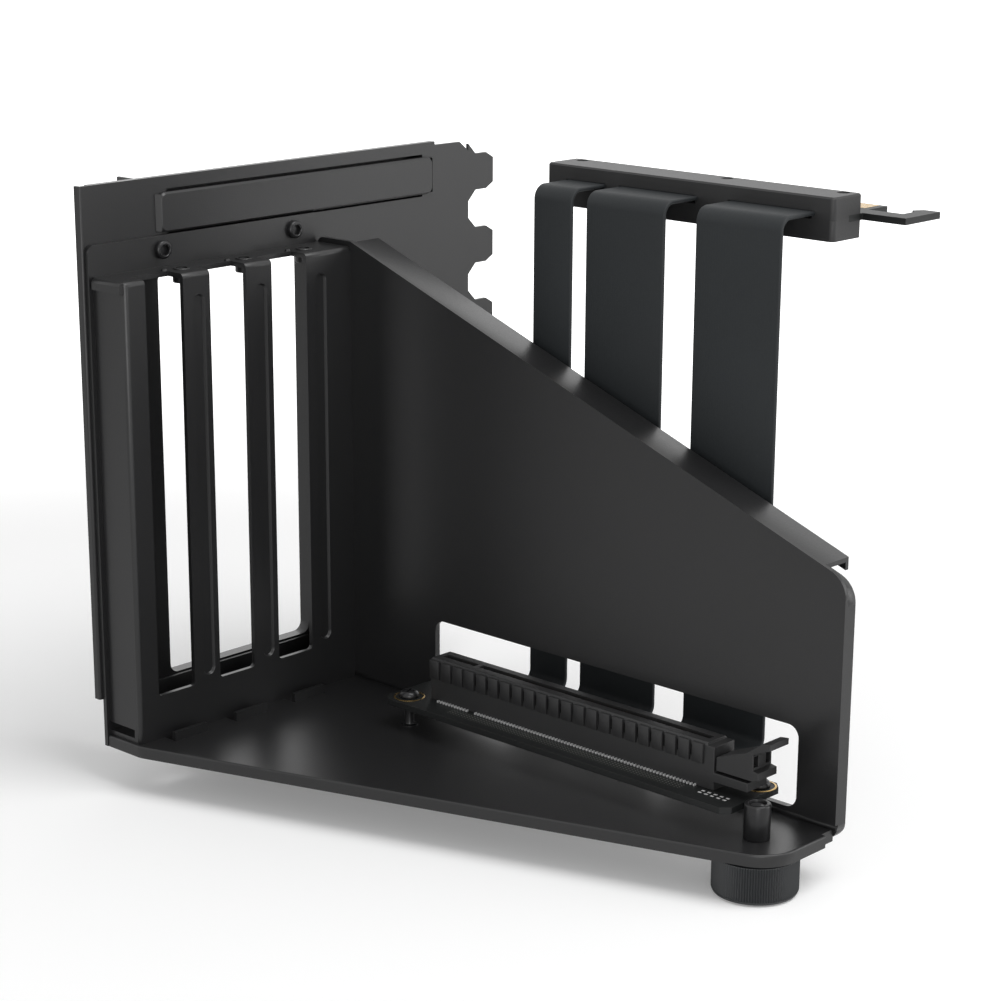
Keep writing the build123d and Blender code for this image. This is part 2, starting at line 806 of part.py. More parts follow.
with BuildPart() as board_screws:
    with BuildSketch(Plane.XY.offset(above_base(board_top + ring_height - screw_length))):
        with Locations(*board_holes):
            Circle(screw_radius)
    extrude(amount=screw_length)
    with BuildSketch(Plane.XY.offset(above_base(board_top + ring_height))):
        with Locations(*board_holes):
            Circle(screw_head_radius)
    extrude(amount=screw_head_height)
    chamfer(board_screws.faces().filter_by(Axis.Z).group_by(Axis.Z)[-1].edges(), screw_head_chamfer)
    with BuildSketch(Plane.XY.offset(above_base(board_top + ring_height + screw_head_height))):
        for hole in board_holes:
            with Locations(hole):
                Rectangle(cross_span, cross_width)
                Rectangle(cross_width, cross_span)
    extrude(amount=-cross_depth, mode=Mode.SUBTRACT)
board_screws.part.label = "board_screws"
export_step(board_screws.part, "parts/board_screws.step")

# Card socket: a long moulding with a keyed slot, contact tails on both sides, an end post, and a
# shelf whose upright tongue carries the latch
socket_start_x = from_plate(socket_start)
socket_end_x = socket_start_x + socket_length
socket_front_y = from_left(socket_front)
socket_middle_y = socket_front_y + socket_width / 2
socket_foot_z = above_base(board_top)
socket_top_z = socket_foot_z + socket_height
key_x = socket_start_x + card_key_offset
slot_start_x = socket_start_x + card_slot_margin
slot_end_x = socket_end_x - card_slot_margin
cell_count = int((socket_length - 2 * first_contact) // cell_pitch)
cells_middle_x = socket_start_x + first_contact + (socket_length - 2 * first_contact) / 2
pivot = (from_plate(latch_pivot_x), above_base(latch_pivot_height))
post_end_x = socket_end_x + post_length
shelf_end_x = socket_end_x + shelf_length

with BuildPart() as card_socket:
    with BuildSketch(Plane.XY.offset(socket_foot_z)):
        with Locations(((socket_start_x + socket_end_x) / 2, socket_middle_y)):
            Rectangle(socket_length, socket_width)
    extrude(amount=socket_height)
    chamfer(card_socket.faces().sort_by(Axis.Z)[-1].edges().filter_by(Axis.X), socket_chamfer)
    with BuildSketch(Plane.XY.offset(socket_top_z)):
        for low, high in ((slot_start_x, key_x - card_key_width / 2), (key_x + card_key_width / 2, slot_end_x)):
            with Locations(((low + high) / 2, socket_middle_y)):
                Rectangle(high - low, card_slot_width)
    extrude(amount=-card_slot_depth, mode=Mode.SUBTRACT)
    for face_y, direction in ((socket_front_y, -1), (socket_front_y + socket_width, 1)):
        with BuildSketch(Plane.XZ.offset(-face_y)):
            with Locations((cells_middle_x, socket_top_z - cell_drop - cell_height / 2)):
                with GridLocations(cell_pitch, 1, cell_count, 1):
                    Rectangle(cell_width, cell_height)
        extrude(amount=direction * cell_depth, mode=Mode.SUBTRACT)
    with BuildSketch(Plane.XY.offset(socket_foot_z)):
        with Locations(((socket_end_x + post_end_x) / 2, socket_middle_y)):
            Rectangle(post_length, socket_width)
    extrude(amount=socket_height - socket_chamfer)
    with BuildSketch(Plane.XY.offset(above_base(shelf_foot))):
        with Locations(((post_end_x + shelf_end_x) / 2, socket_middle_y)):
            Rectangle(shelf_end_x - post_end_x, socket_width)
    extrude(amount=shelf_top - shelf_foot)
    with BuildSketch(Plane.XZ.offset(-(socket_middle_y + pivot_tongue_thickness / 2))):
        with Locations((pivot[0], (above_base(shelf_top) + pivot[1]) / 2)):
            Rectangle(2 * pivot_tongue_radius, pivot[1] - above_base(shelf_top))
        with Locations(pivot):
            Circle(pivot_tongue_radius)
            Circle(latch_pin_radius + clearance, mode=Mode.SUBTRACT)
    extrude(amount=pivot_tongue_thickness)
card_socket.part.label = "card_socket"
export_step(card_socket.part, "parts/card_socket.step")

# Contact tails, one for each contact in both banks, on both long sides
tail_places = [socket_start_x + first_contact + contact_pitch * index for index in range(short_bank)]
second_bank_x = tail_places[-1] + bank_gap
tail_places += [second_bank_x + contact_pitch * index for index in range(long_bank)]

with BuildPart() as socket_contacts:
    with BuildSketch(Plane.XY.offset(socket_foot_z)):
        for x in tail_places:
            with Locations((x, socket_front_y - tail_length / 2), (x, socket_front_y + socket_width + tail_length / 2)):
                Rectangle(tail_width, tail_length)
    extrude(amount=tail_height)
socket_contacts.part.label = "socket_contacts"
export_step(socket_contacts.part, "parts/socket_contacts.step")

# Latch lever, astride the shelf's tongue, that tips outwards on its pin
latch_outline = [
    (-latch_heel, -latch_foot),
    (latch_sole, -latch_foot),
    (latch_lip_x, -latch_lip_foot),
    (latch_lip_x, latch_lip_top),
    (latch_face_x, latch_face_foot),
    (latch_face_x, latch_face_top),
    (latch_tip_x, latch_tip_z),
    (latch_tip_x, latch_tip_top),
    (latch_crest_x, latch_crest_z),
    (latch_brow_x, latch_brow_z),
    (-latch_heel, latch_shoulder_z),
]
latch_width = socket_width - 2 * latch_inset
latch_back_y = socket_middle_y + latch_width / 2
latch_slot_width = pivot_tongue_thickness + 2 * latch_slot_side_gap
latch_window_centre_z = pivot[1] + (latch_face_foot + latch_face_top) / 2

with BuildPart() as socket_latch:
    with BuildSketch(Plane.XZ.offset(-latch_back_y)):
        with BuildLine():
            Polyline(*[(pivot[0] + x, pivot[1] + z) for x, z in latch_outline], close=True)
        make_face()
    extrude(amount=latch_width)
    with BuildSketch(Plane.XY.offset(pivot[1] - latch_foot)):
        with Locations((pivot[0], socket_middle_y)):
            Rectangle(2 * latch_slot_reach, latch_slot_width)
    extrude(amount=latch_foot + latch_slot_top, mode=Mode.SUBTRACT)
    with BuildSketch(Plane.YZ.offset(pivot[0] + latch_face_x)):
        for side in (-1, 1):
            with Locations((socket_middle_y + side * latch_window_offset, latch_window_centre_z)):
                Rectangle(latch_window_width, latch_window_height)
    extrude(amount=-latch_window_depth, mode=Mode.SUBTRACT)
    with BuildSketch(Plane.XZ.offset(-latch_back_y)):
        with Locations(pivot):
            Circle(latch_pin_radius)
    extrude(amount=latch_width)
socket_latch.part.label = "socket_latch"
export_step(socket_latch.part, "parts/socket_latch.step")

# Flat cables: from the board's rear edge through the wall, up behind the flange and into the plug
plug_front_y = from_left(plug_front)
plug_foot_z = above_base(plug_foot)
plug_board_z = plug_foot_z + plug_split
ribbon_run_z = plug_board_z + plug_board_thickness + ribbon_thickness / 2
ribbon_exit_z = above_base(board_top) + ribbon_thickness / 2
ribbon_plane_y = from_left(ribbon_plane)
ribbon_start_y = board_back_y - ribbon_board_overlap
ribbon_end_y = plug_front_y + plug_board_front_gap + ribbon_board_overlap
ribbon_parts = []
for number, (start, width) in enumerate(ribbons, 1):
    with BuildPart() as ribbon:
        with BuildLine(Plane.YZ.offset(from_plate(start + width / 2))) as route:
            FilletPolyline(
                (ribbon_start_y, ribbon_exit_z),
                (ribbon_plane_y, ribbon_exit_z),
                (ribbon_plane_y, ribbon_run_z),
                (ribbon_end_y, ribbon_run_z),
                radius=ribbon_bend_radius,
            )
        with BuildSketch(Plane.XZ.offset(-ribbon_start_y)):
            with Locations((from_plate(start + width / 2), ribbon_exit_z)):
                Rectangle(width, ribbon_thickness)
        sweep(path=route.wires()[0])
    ribbon.part.label = f"ribbon_cable_{number}"
    export_step(ribbon.part, f"parts/ribbon_cable_{number}.step")
    print(f"ribbon {number}: length {route.wires()[0].length:.1f}, bends {ribbon_bend_radius}")

# Edge plug: board with contact fingers and retention hook between two shell halves
plug_start_x = from_plate(plug_start)
plug_end_x = plug_start_x + plug_length
plug_middle = (plug_start_x + plug_length / 2, plug_front_y + plug_depth / 2)
plug_back_y = plug_front_y + plug_depth
plug_split_z = plug_board_z + plug_board_thickness / 2
ribbon_slots = [(from_plate(start + width / 2), width + 2 * ribbon_slot_side) for start, width in ribbons]
plug_screw_centres = [(plug_start_x + place, plug_back_y - plug_screw_inset) for place in plug_screw_places]
plug_cavity_front = plug_board_front_gap - plug_cavity_gap
hook_slot_y = plug_front_y + hook_slot_start
hook_end_x = plug_end_x + hook_reach
hook_arm_x = hook_end_x - hook_width
hook_tip_y = plug_back_y + hook_tip

with BuildPart() as plug_board:
    plug_board_front_y = plug_front_y + plug_board_front_gap
    plug_board_left_x = plug_start_x + plug_board_margin
    plug_board_right_x = plug_end_x - plug_board_margin
    edge_back_y = plug_back_y + finger_reach
    with BuildSketch(Plane.XY.offset(plug_board_z)) as plug_outline:
        with BuildLine():
            Polyline(
                (plug_board_left_x, plug_board_front_y),
                (plug_board_right_x, plug_board_front_y),
                (plug_board_right_x, hook_slot_y),
                (plug_end_x, hook_slot_y),
                (plug_end_x, plug_back_y),
                (hook_end_x, plug_back_y),
                (hook_end_x, hook_tip_y),
                (hook_arm_x, hook_tip_y),
                (hook_arm_x - hook_barb, hook_tip_y - hook_barb_tip),
                (hook_arm_x, hook_tip_y - hook_barb_root),
                (hook_arm_x, plug_back_y + hook_depth),
                (plug_board_right_x, plug_back_y + hook_depth),
                (plug_board_right_x, edge_back_y),
                (plug_board_left_x, edge_back_y),
                close=True,
            )
        make_face()
        with Locations((plug_board_left_x + plug_key_offset, edge_back_y - plug_key_depth / 2)):
            Rectangle(plug_key_width, plug_key_depth, mode=Mode.SUBTRACT)
    extrude(amount=plug_board_thickness)
    with BuildSketch(Plane.XY.offset(plug_board_z)):
        with Locations(*plug_screw_centres):
            Circle(plug_screw_radius + plug_board_screw_gap)
    extrude(amount=plug_board_thickness, mode=Mode.SUBTRACT)
plug_board.part.label = "plug_board"
export_step(plug_board.part, "parts/plug_board.step")

finger_places = [plug_board_left_x + finger_first + contact_pitch * index for index in range(short_bank - 1)]
finger_places += [finger_places[-1] + bank_gap + contact_pitch * (index + 1) for index in range(long_bank - 3)]
finger_y = plug_back_y + finger_reach - finger_length / 2 - finger_margin

with BuildPart() as plug_fingers:
    for level, direction in ((plug_board_z + plug_board_thickness, 1), (plug_board_z, -1)):
        with BuildSketch(Plane.XY.offset(level)):
            for x in finger_places:
                with Locations((x, finger_y)):
                    Rectangle(finger_width, finger_length)
        extrude(amount=direction * finger_height)
plug_fingers.part.label = "plug_fingers"
export_step(plug_fingers.part, "parts/plug_fingers.step")

with BuildPart() as plug_base:
    with BuildSketch(Plane.XY.offset(plug_foot_z)):
        with Locations(plug_middle):
            Rectangle(plug_length, plug_depth)
    extrude(amount=plug_split_z - plug_foot_z)
    fillet(plug_base.edges().filter_by(Axis.Z), plug_corner_radius)
    with BuildSketch(Plane.XY.offset(plug_board_z)):
        with BuildLine():
            Polyline(
                (plug_board_left_x, plug_front_y + plug_cavity_front),
                (plug_board_right_x, plug_front_y + plug_cavity_front),
                (plug_board_right_x, hook_slot_y),
                (plug_end_x, hook_slot_y),
                (plug_end_x, plug_back_y),
                (plug_board_left_x, plug_back_y),
                close=True,
            )
        make_face()
    extrude(amount=plug_split_z - plug_board_z, mode=Mode.SUBTRACT)
    with BuildSketch(Plane.XY.offset(plug_foot_z + plug_wall)):
        with Locations(*plug_screw_centres):
            Circle(plug_screw_radius)
    extrude(amount=plug_split_z - plug_foot_z - plug_wall, mode=Mode.SUBTRACT)
plug_base.part.label = "plug_base"
export_step(plug_base.part, "parts/plug_base.step")

with BuildPart() as plug_cover:
    with BuildSketch(Plane.XY.offset(plug_split_z)):
        with Locations(plug_middle):
            Rectangle(plug_length, plug_depth)
    extrude(amount=plug_foot_z + plug_height - plug_split_z)
    fillet(plug_cover.edges().filter_by(Axis.Z), plug_corner_radius)
    chamfer(plug_cover.faces().sort_by(Axis.Z)[-1].edges(), plug_top_chamfer)
    with BuildSketch(Plane.XY.offset(plug_split_z)):
        with BuildLine():
            Polyline(
                (plug_board_left_x, plug_front_y + plug_cavity_front),
                (plug_board_right_x, plug_front_y + plug_cavity_front),
                (plug_board_right_x, hook_slot_y),
                (plug_end_x, hook_slot_y),
                (plug_end_x, plug_back_y),
                (plug_board_left_x, plug_back_y),
                close=True,
            )
        make_face()
    extrude(amount=plug_board_z + plug_board_thickness - plug_split_z, mode=Mode.SUBTRACT)
    ribbon_slot_depth = plug_board_front_gap + ribbon_board_overlap + clearance
    ribbon_slot_top = ribbon_run_z + ribbon_thickness / 2 + ribbon_slot_gap
    with BuildSketch(Plane.XZ.offset(-(plug_front_y + ribbon_slot_depth))):
        for x, width in ribbon_slots:
            with Locations((x, (plug_split_z + ribbon_slot_top) / 2)):
                Rectangle(width, ribbon_slot_top - plug_split_z)
    extrude(amount=ribbon_slot_depth, mode=Mode.SUBTRACT)
    with BuildSketch(Plane.XY.offset(plug_foot_z + plug_height)):
        with Locations(*plug_screw_centres):
            Circle(plug_screw_head_radius + clearance)
    extrude(amount=-plug_screw_recess, mode=Mode.SUBTRACT)
    with BuildSketch(Plane.XY.offset(plug_split_z)):
        with Locations(*plug_screw_centres):
            Circle(plug_screw_radius + plug_screw_gap)
    extrude(amount=plug_height, mode=Mode.SUBTRACT)
plug_cover.part.label = "plug_cover"
export_step(plug_cover.part, "parts/plug_cover.step")

with BuildPart() as plug_screws:
    plug_screw_seat_z = plug_foot_z + plug_height - plug_screw_recess
    with BuildSketch(Plane.XY.offset(plug_foot_z + plug_wall)):
        with Locations(*plug_screw_centres):
            Circle(plug_screw_radius)
    extrude(amount=plug_screw_seat_z - plug_foot_z - plug_wall)
    with BuildSketch(Plane.XY.offset(plug_screw_seat_z)):
        with Locations(*plug_screw_centres):
            Circle(plug_screw_head_radius)
    extrude(amount=plug_screw_head_height)
plug_screws.part.label = "plug_screws"
export_step(plug_screws.part, "parts/plug_screws.step")
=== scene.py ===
from math import cos, pi, radians, sin

import bpy
from mathutils import Euler, Matrix, Vector


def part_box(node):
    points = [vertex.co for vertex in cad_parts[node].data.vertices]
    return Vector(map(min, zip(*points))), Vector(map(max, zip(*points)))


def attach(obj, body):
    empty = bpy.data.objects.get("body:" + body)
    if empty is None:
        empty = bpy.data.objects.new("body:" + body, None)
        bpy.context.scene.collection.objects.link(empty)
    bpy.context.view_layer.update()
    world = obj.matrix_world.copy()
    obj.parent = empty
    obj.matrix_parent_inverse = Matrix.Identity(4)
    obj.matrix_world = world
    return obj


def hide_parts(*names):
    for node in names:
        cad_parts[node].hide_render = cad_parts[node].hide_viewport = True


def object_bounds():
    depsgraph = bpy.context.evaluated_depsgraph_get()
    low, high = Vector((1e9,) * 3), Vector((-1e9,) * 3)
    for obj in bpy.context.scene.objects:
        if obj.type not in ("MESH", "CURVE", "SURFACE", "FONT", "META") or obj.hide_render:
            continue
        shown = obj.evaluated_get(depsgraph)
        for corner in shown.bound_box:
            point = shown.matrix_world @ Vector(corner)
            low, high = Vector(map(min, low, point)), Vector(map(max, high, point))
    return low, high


bl_info = {
    "name": "Vertical card bracket",
    "version": (1, 0, 0),
    "blender": (4, 5, 0),
    "location": "View3D > Sidebar > Card bracket",
    "description": "Dresses the vertical card bracket and sets up its studio",
    "category": "Object",
}

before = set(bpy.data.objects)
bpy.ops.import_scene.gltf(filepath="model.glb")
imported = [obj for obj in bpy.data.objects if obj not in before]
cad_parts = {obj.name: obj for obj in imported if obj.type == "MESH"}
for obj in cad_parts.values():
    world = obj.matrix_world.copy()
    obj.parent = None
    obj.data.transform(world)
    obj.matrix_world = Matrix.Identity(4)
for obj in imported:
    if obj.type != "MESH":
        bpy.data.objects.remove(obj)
cad_low, cad_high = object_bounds()
MM = 0.001

# Sizes of the solids that the pieces added here go by
SLOT_PITCH = 20.32 * MM
LEDGE_HEIGHT = 119.6 * MM
BASE_THICKNESS = 3.0 * MM
CONTACT_PITCH = 1.0 * MM

# Two radii count as the same below this difference
SAME_RADIUS = 1e-9

# How much smaller in radius the knob is drawn than its solid, and how much wider each flat cable
KNOB_TRIM = 0.5 * MM
CABLE_GROWTH = (0.6 * MM, 1.4 * MM, 1.5 * MM)

# Each lamp's name, place from the object's middle, size and the setting that holds its power
LAMPS = (
    ("key lamp", (0.45, 0.10, 1.0), 0.8, "key_power"),
    ("back lamp", (-1.32, 1.38, 0.60), 1.2, "back_power"),
    ("side lamp", (0.85, 0.75, 0.22), 0.8, "side_power"),
    ("front lamp", (0.66, -0.70, 0.10), 0.5, "front_power"),
)


# Settings


class BracketFinishSettings(bpy.types.PropertyGroup):
    powder_colour: bpy.props.FloatVectorProperty(
        name="Powder coat", description="Colour of the coated steel sheets",
        subtype="COLOR", size=3, min=0, max=1, default=(0.0125, 0.0125, 0.013))
    powder_roughness: bpy.props.FloatProperty(
        name="Powder roughness", description="How matt the powder coat is",
        subtype="FACTOR", min=0.05, max=1, default=0.35)
    cable_colour: bpy.props.FloatVectorProperty(
        name="Flat cables", description="Colour of the flat cables' jackets",
        subtype="COLOR", size=3, min=0, max=1, default=(0.0152, 0.0178, 0.0196))
    plastic_colour: bpy.props.FloatVectorProperty(
        name="Socket plastic", description="Colour of the moulded socket and latch",
        subtype="COLOR", size=3, min=0, max=1, default=(0.016, 0.016, 0.0165))
    plug_colour: bpy.props.FloatVectorProperty(
        name="Plug shells", description="Colour of the edge plug's two shells",
        subtype="COLOR", size=3, min=0, max=1, default=(0.020, 0.020, 0.0205))
    board_colour: bpy.props.FloatVectorProperty(
        name="Solder mask", description="Colour of the circuit boards",
        subtype="COLOR", size=3, min=0, max=1, default=(0.006, 0.0068, 0.0068))
    gold_colour: bpy.props.FloatVectorProperty(
        name="Gold plating", description="Colour of the rings and contact fingers",
        subtype="COLOR", size=3, min=0, max=1, default=(0.58, 0.39, 0.15))


class BracketSizeSettings(bpy.types.PropertyGroup):
    sheet_edge: bpy.props.FloatProperty(
        name="Sheet edge", description="Rounding of the thin sheets' cut edges",
        subtype="DISTANCE", unit="LENGTH", min=0, default=0.22 * MM)
    plate_edge: bpy.props.FloatProperty(
        name="Base edge", description="Rounding of the thick base plate's edges",
        subtype="DISTANCE", unit="LENGTH", min=0, default=0.5 * MM)
    moulded_edge: bpy.props.FloatProperty(
        name="Moulded edge", description="Rounding of the plastic pieces' edges",
        subtype="DISTANCE", unit="LENGTH", min=0, default=0.18 * MM)
    knurl_count: bpy.props.IntProperty(
        name="Knurls", description="Ridges round the thumb knob", min=12, default=100)
    knurl_depth: bpy.props.FloatProperty(
        name="Knurl depth", description="Depth of the grooves between the ridges",
        subtype="DISTANCE", unit="LENGTH", min=0, default=0.32 * MM)
    thread_pitch: bpy.props.FloatProperty(
        name="Thread pitch", description="Pitch of the foot's screw thread",
        subtype="DISTANCE", unit="LENGTH", min=0.1 * MM, default=0.7 * MM)
    cable_thickness: bpy.props.FloatProperty(
        name="Cable thickness", description="Thickness of the flat cables",
        subtype="DISTANCE", unit="LENGTH", min=0.1 * MM, default=1.0 * MM)
    cable_plane: bpy.props.FloatProperty(
        name="Cable plane", description="Where the cables rise, across the bracket",
        subtype="DISTANCE", unit="LENGTH", default=69.0 * MM)
    cable_bend: bpy.props.FloatProperty(
        name="Cable bend", description="Radius of the flat cables' bends",
        subtype="DISTANCE", unit="LENGTH", min=0.5 * MM, default=3.0 * MM)


class BracketStageSettings(bpy.types.PropertyGroup):
    camera_place: bpy.props.FloatVectorProperty(
        name="Camera place", description="Where the camera stands",
        subtype="TRANSLATION", unit="LENGTH", size=3, default=(0.49437, -0.39742, 0.15774))
    camera_yaw: bpy.props.FloatProperty(
        name="Camera yaw", description="Viewing direction, from +X towards +Y",
        subtype="ANGLE", unit="ROTATION", default=radians(133.7135))
    camera_pitch: bpy.props.FloatProperty(
        name="Camera pitch", description="Viewing direction above the horizon",
        subtype="ANGLE", unit="ROTATION", default=radians(-16.713))
    camera_roll: bpy.props.FloatProperty(
        name="Camera roll", description="Turn about the viewing direction",
        subtype="ANGLE", unit="ROTATION", default=radians(0.0824))
    camera_lens: bpy.props.FloatProperty(
        name="Lens", description="Focal length in millimetres on a 36 mm sensor",
        min=1, default=92.066)
    camera_shift: bpy.props.FloatVectorProperty(
        name="Lens shift", description="Sideways and upward shift of the frame",
        size=2, default=(0.03488, 0.07448))
    sky_strength: bpy.props.FloatProperty(
        name="Sky", description="Strength of the even light all round", min=0, default=0.48)
    key_power: bpy.props.FloatProperty(
        name="Key lamp", description="Power of the large lamp overhead",
        subtype="POWER", unit="POWER", min=0, default=7.0)
    side_power: bpy.props.FloatProperty(
        name="Side lamp", description="Power of the lamp on the right",
        subtype="POWER", unit="POWER", min=0, default=3.3)
    front_power: bpy.props.FloatProperty(
        name="Front lamp", description="Power of the low lamp in front, which shows in upright edges",
        subtype="POWER", unit="POWER", min=0, default=2.4)
    back_power: bpy.props.FloatProperty(
        name="Back lamp", description="Power of the low lamp behind, which shows in upward faces",
        subtype="POWER", unit="POWER", min=0, default=2.6)
    floor_glow: bpy.props.FloatProperty(
        name="Floor glow", description="How much of the floor's white near the object is its own",
        subtype="FACTOR", min=0, max=1, default=0.17)


# Modelling helpers


def choose(*objects):
    """Leaves only these objects selected, the first one active, in object mode."""
    if bpy.context.object and bpy.context.object.mode != "OBJECT":
        bpy.ops.object.mode_set(mode="OBJECT")
    bpy.ops.object.select_all(action="DESELECT")
    for item in objects:
        item.select_set(True)
    if objects:
        bpy.context.view_layer.objects.active = objects[0]


def discard(*objects):
    choose(*objects)
    bpy.ops.object.delete()


def in_mm(*stations):
    """Stations of radius and height, given in millimetres."""
    return [(radius * MM, height * MM) for radius, height in stations]


def at(x, y, z):
    """A place given in millimetres."""
    return Vector((x, y, z)) * MM


def settle(piece, place=(0, 0, 0), turn=(0, 0, 0)):
    """Turns and moves a piece, then puts its place into its mesh."""
    choose(piece)
    piece.location = place
    piece.rotation_euler = turn
    bpy.ops.object.transform_apply(location=True, rotation=True, scale=True)


def pick(piece, test, kind="FACE"):
    """Selects the faces or vertices that pass a test of place and normal, and stays in edit mode."""
    choose(piece)
    bpy.ops.object.mode_set(mode="EDIT")
    bpy.ops.mesh.select_mode(type=kind)
    bpy.ops.mesh.select_all(action="DESELECT")
    bpy.ops.object.mode_set(mode="OBJECT")
    if kind == "FACE":
        for face in piece.data.polygons:
            face.select = bool(test(face.center, face.normal))
    else:
        for vertex in piece.data.vertices:
            vertex.select = bool(test(vertex.co, vertex.normal))
    bpy.ops.object.mode_set(mode="EDIT")


def leave_edit():
    bpy.ops.object.mode_set(mode="OBJECT")


def extruded(shift):
    """Draws the selected faces on by a shift, in edit mode."""
    bpy.ops.mesh.extrude_region_move(TRANSFORM_OT_translate={"value": shift})


def smooth(piece, angle=35):
    choose(piece)
    bpy.ops.object.shade_smooth_by_angle(angle=radians(angle))


def turned(name, stations, sides=32):
    """A round piece about the Z axis, drawn up through stations of radius and height."""
    choose()
    radius, height = stations[0]
    bpy.ops.mesh.primitive_circle_add(
        vertices=sides, radius=radius, fill_type="NGON", location=(0, 0, height))
    piece = bpy.context.object
    piece.name = piece.data.name = name
    bpy.ops.object.transform_apply(location=True, rotation=True, scale=True)
    bpy.ops.object.mode_set(mode="EDIT")
    bpy.ops.mesh.select_mode(type="FACE")
    bpy.ops.mesh.select_all(action="SELECT")
    for next_radius, next_height in stations[1:]:
        extruded((0, 0, next_height - height))
        if abs(next_radius - radius) > SAME_RADIUS:
            ratio = next_radius / radius
            bpy.ops.transform.resize(value=(ratio, ratio, 1), center_override=(0, 0, next_height))
        radius, height = next_radius, next_height
    bpy.ops.mesh.select_all(action="SELECT")
    bpy.ops.mesh.normals_make_consistent(inside=False)
    leave_edit()
    smooth(piece)
    return piece


def block(name, low, high, edge=0.0, segments=2):
    """A block between two corners, with rounded edges."""
    choose()
    low, high = Vector(low), Vector(high)
    bpy.ops.mesh.primitive_cube_add(size=1, location=(low + high) / 2)
    piece = bpy.context.object
    piece.name = piece.data.name = name
    piece.scale = high - low
    bpy.ops.object.transform_apply(location=True, rotation=True, scale=True)
    if edge > 0:
        bpy.ops.object.mode_set(mode="EDIT")
        bpy.ops.mesh.select_all(action="SELECT")
        bpy.ops.mesh.bevel(offset=edge, segments=segments, affect="EDGES")
        leave_edit()
    smooth(piece)
    return piece


def modified(piece, kind, **values):
    """Adds a modifier with the given values and applies it."""
    choose(piece)
    modifier = piece.modifiers.new(kind.title(), kind)
    for key, value in values.items():
        setattr(modifier, key, value)
    bpy.ops.object.modifier_apply(modifier=modifier.name)


def rounded(piece, width, segments=2, limit=30, shade=35):
    """Rounds the edges that are sharper than a limit, then smooths the shading."""
    modified(piece, "BEVEL", width=width, segments=segments, limit_method="ANGLE", angle_limit=radians(limit))
    smooth(piece, shade)


def repeated(piece, count, step):
    """Repeats a piece along X."""
    modified(piece, "ARRAY", count=count, use_relative_offset=False, use_constant_offset=True,
             constant_offset_displace=(step, 0, 0))


def cut(piece, tool):
    """Cuts one piece out of another and drops the tool."""
    modified(piece, "BOOLEAN", operation="DIFFERENCE", solver="EXACT", object=tool)
    discard(tool)


def copied(piece, name, offset):
    """A copy with its own mesh, moved by an offset."""
    choose(piece)
    bpy.ops.object.duplicate(linked=False)
    twin = bpy.context.object
    twin.name = twin.data.name = name
    settle(twin, offset)
    return twin


def at_two_corners(piece, twin_name, low, high, inset, height):
    """Sets a piece at a box's low corner in X and Y and its copy at the high corner."""
    settle(piece, (low.x + inset, low.y + inset, height))
    twin = copied(piece, twin_name, (high.x - low.x - 2 * inset, high.y - low.y - 2 * inset, 0))
    return piece, twin


def joined(pieces, name):
    choose(*pieces)
    if len(pieces) > 1:
        bpy.ops.object.join()
    piece = bpy.context.object
    piece.name = piece.data.name = name
    return piece


def seated(piece, body, material):
    """Gives a piece its finish and the body that it rides on."""
    piece.data.materials.clear()
    piece.data.materials.append(material)
    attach(piece, body)


def soften(node, width, material, segments=2):
    """Finishes a solid of the frame: its material and small rounded edges."""
    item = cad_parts[node]
    item.data.materials.clear()
    item.data.materials.append(material)
    for face in item.data.polygons:
        face.material_index = 0
    weld = item.modifiers.new("Weld", "WELD")
    weld.merge_threshold = 0.002 * MM
    if width > 0:
        bevel = item.modifiers.new("Edges", "BEVEL")
        bevel.width = width
        bevel.segments = segments
        bevel.limit_method = "ANGLE"
        bevel.angle_limit = radians(38)
        bevel.use_clamp_overlap = True
        bevel.harden_normals = True


# Finishes


def new_group(name, inputs, outputs):
    """An empty node group with these inputs, each with its default, and outputs."""
    group = bpy.data.node_groups.new(name, "ShaderNodeTree")
    for label, default in inputs:
        socket = group.interface.new_socket(name=label, in_out="INPUT", socket_type="NodeSocketFloat")
        socket.default_value = default
    for label in outputs:
        group.interface.new_socket(name=label, in_out="OUTPUT", socket_type="NodeSocketFloat")
    return group


def grain_group():
    """Fine grain for bumps and broad soft patches for colour, on the object's own coordinates."""
    name = "coat grain"
    if name in bpy.data.node_groups:
        return bpy.data.node_groups[name]
    group = new_group(name, (("Grain size", 3000.0), ("Patch size", 18.0)), ("Grain", "Patches"))
    nodes, links = group.nodes, group.links
    entry = nodes.new("NodeGroupInput")
    leave = nodes.new("NodeGroupOutput")
    place = nodes.new("ShaderNodeTexCoord")
    for size, detail, result in (("Grain size", 3.0, "Grain"), ("Patch size", 2.0, "Patches")):
        noise = nodes.new("ShaderNodeTexNoise")
        noise.inputs["Detail"].default_value = detail
        links.new(place.outputs["Object"], noise.inputs["Vector"])
        links.new(entry.outputs[size], noise.inputs["Scale"])
        links.new(noise.outputs["Fac"], leave.inputs[result])
    return group


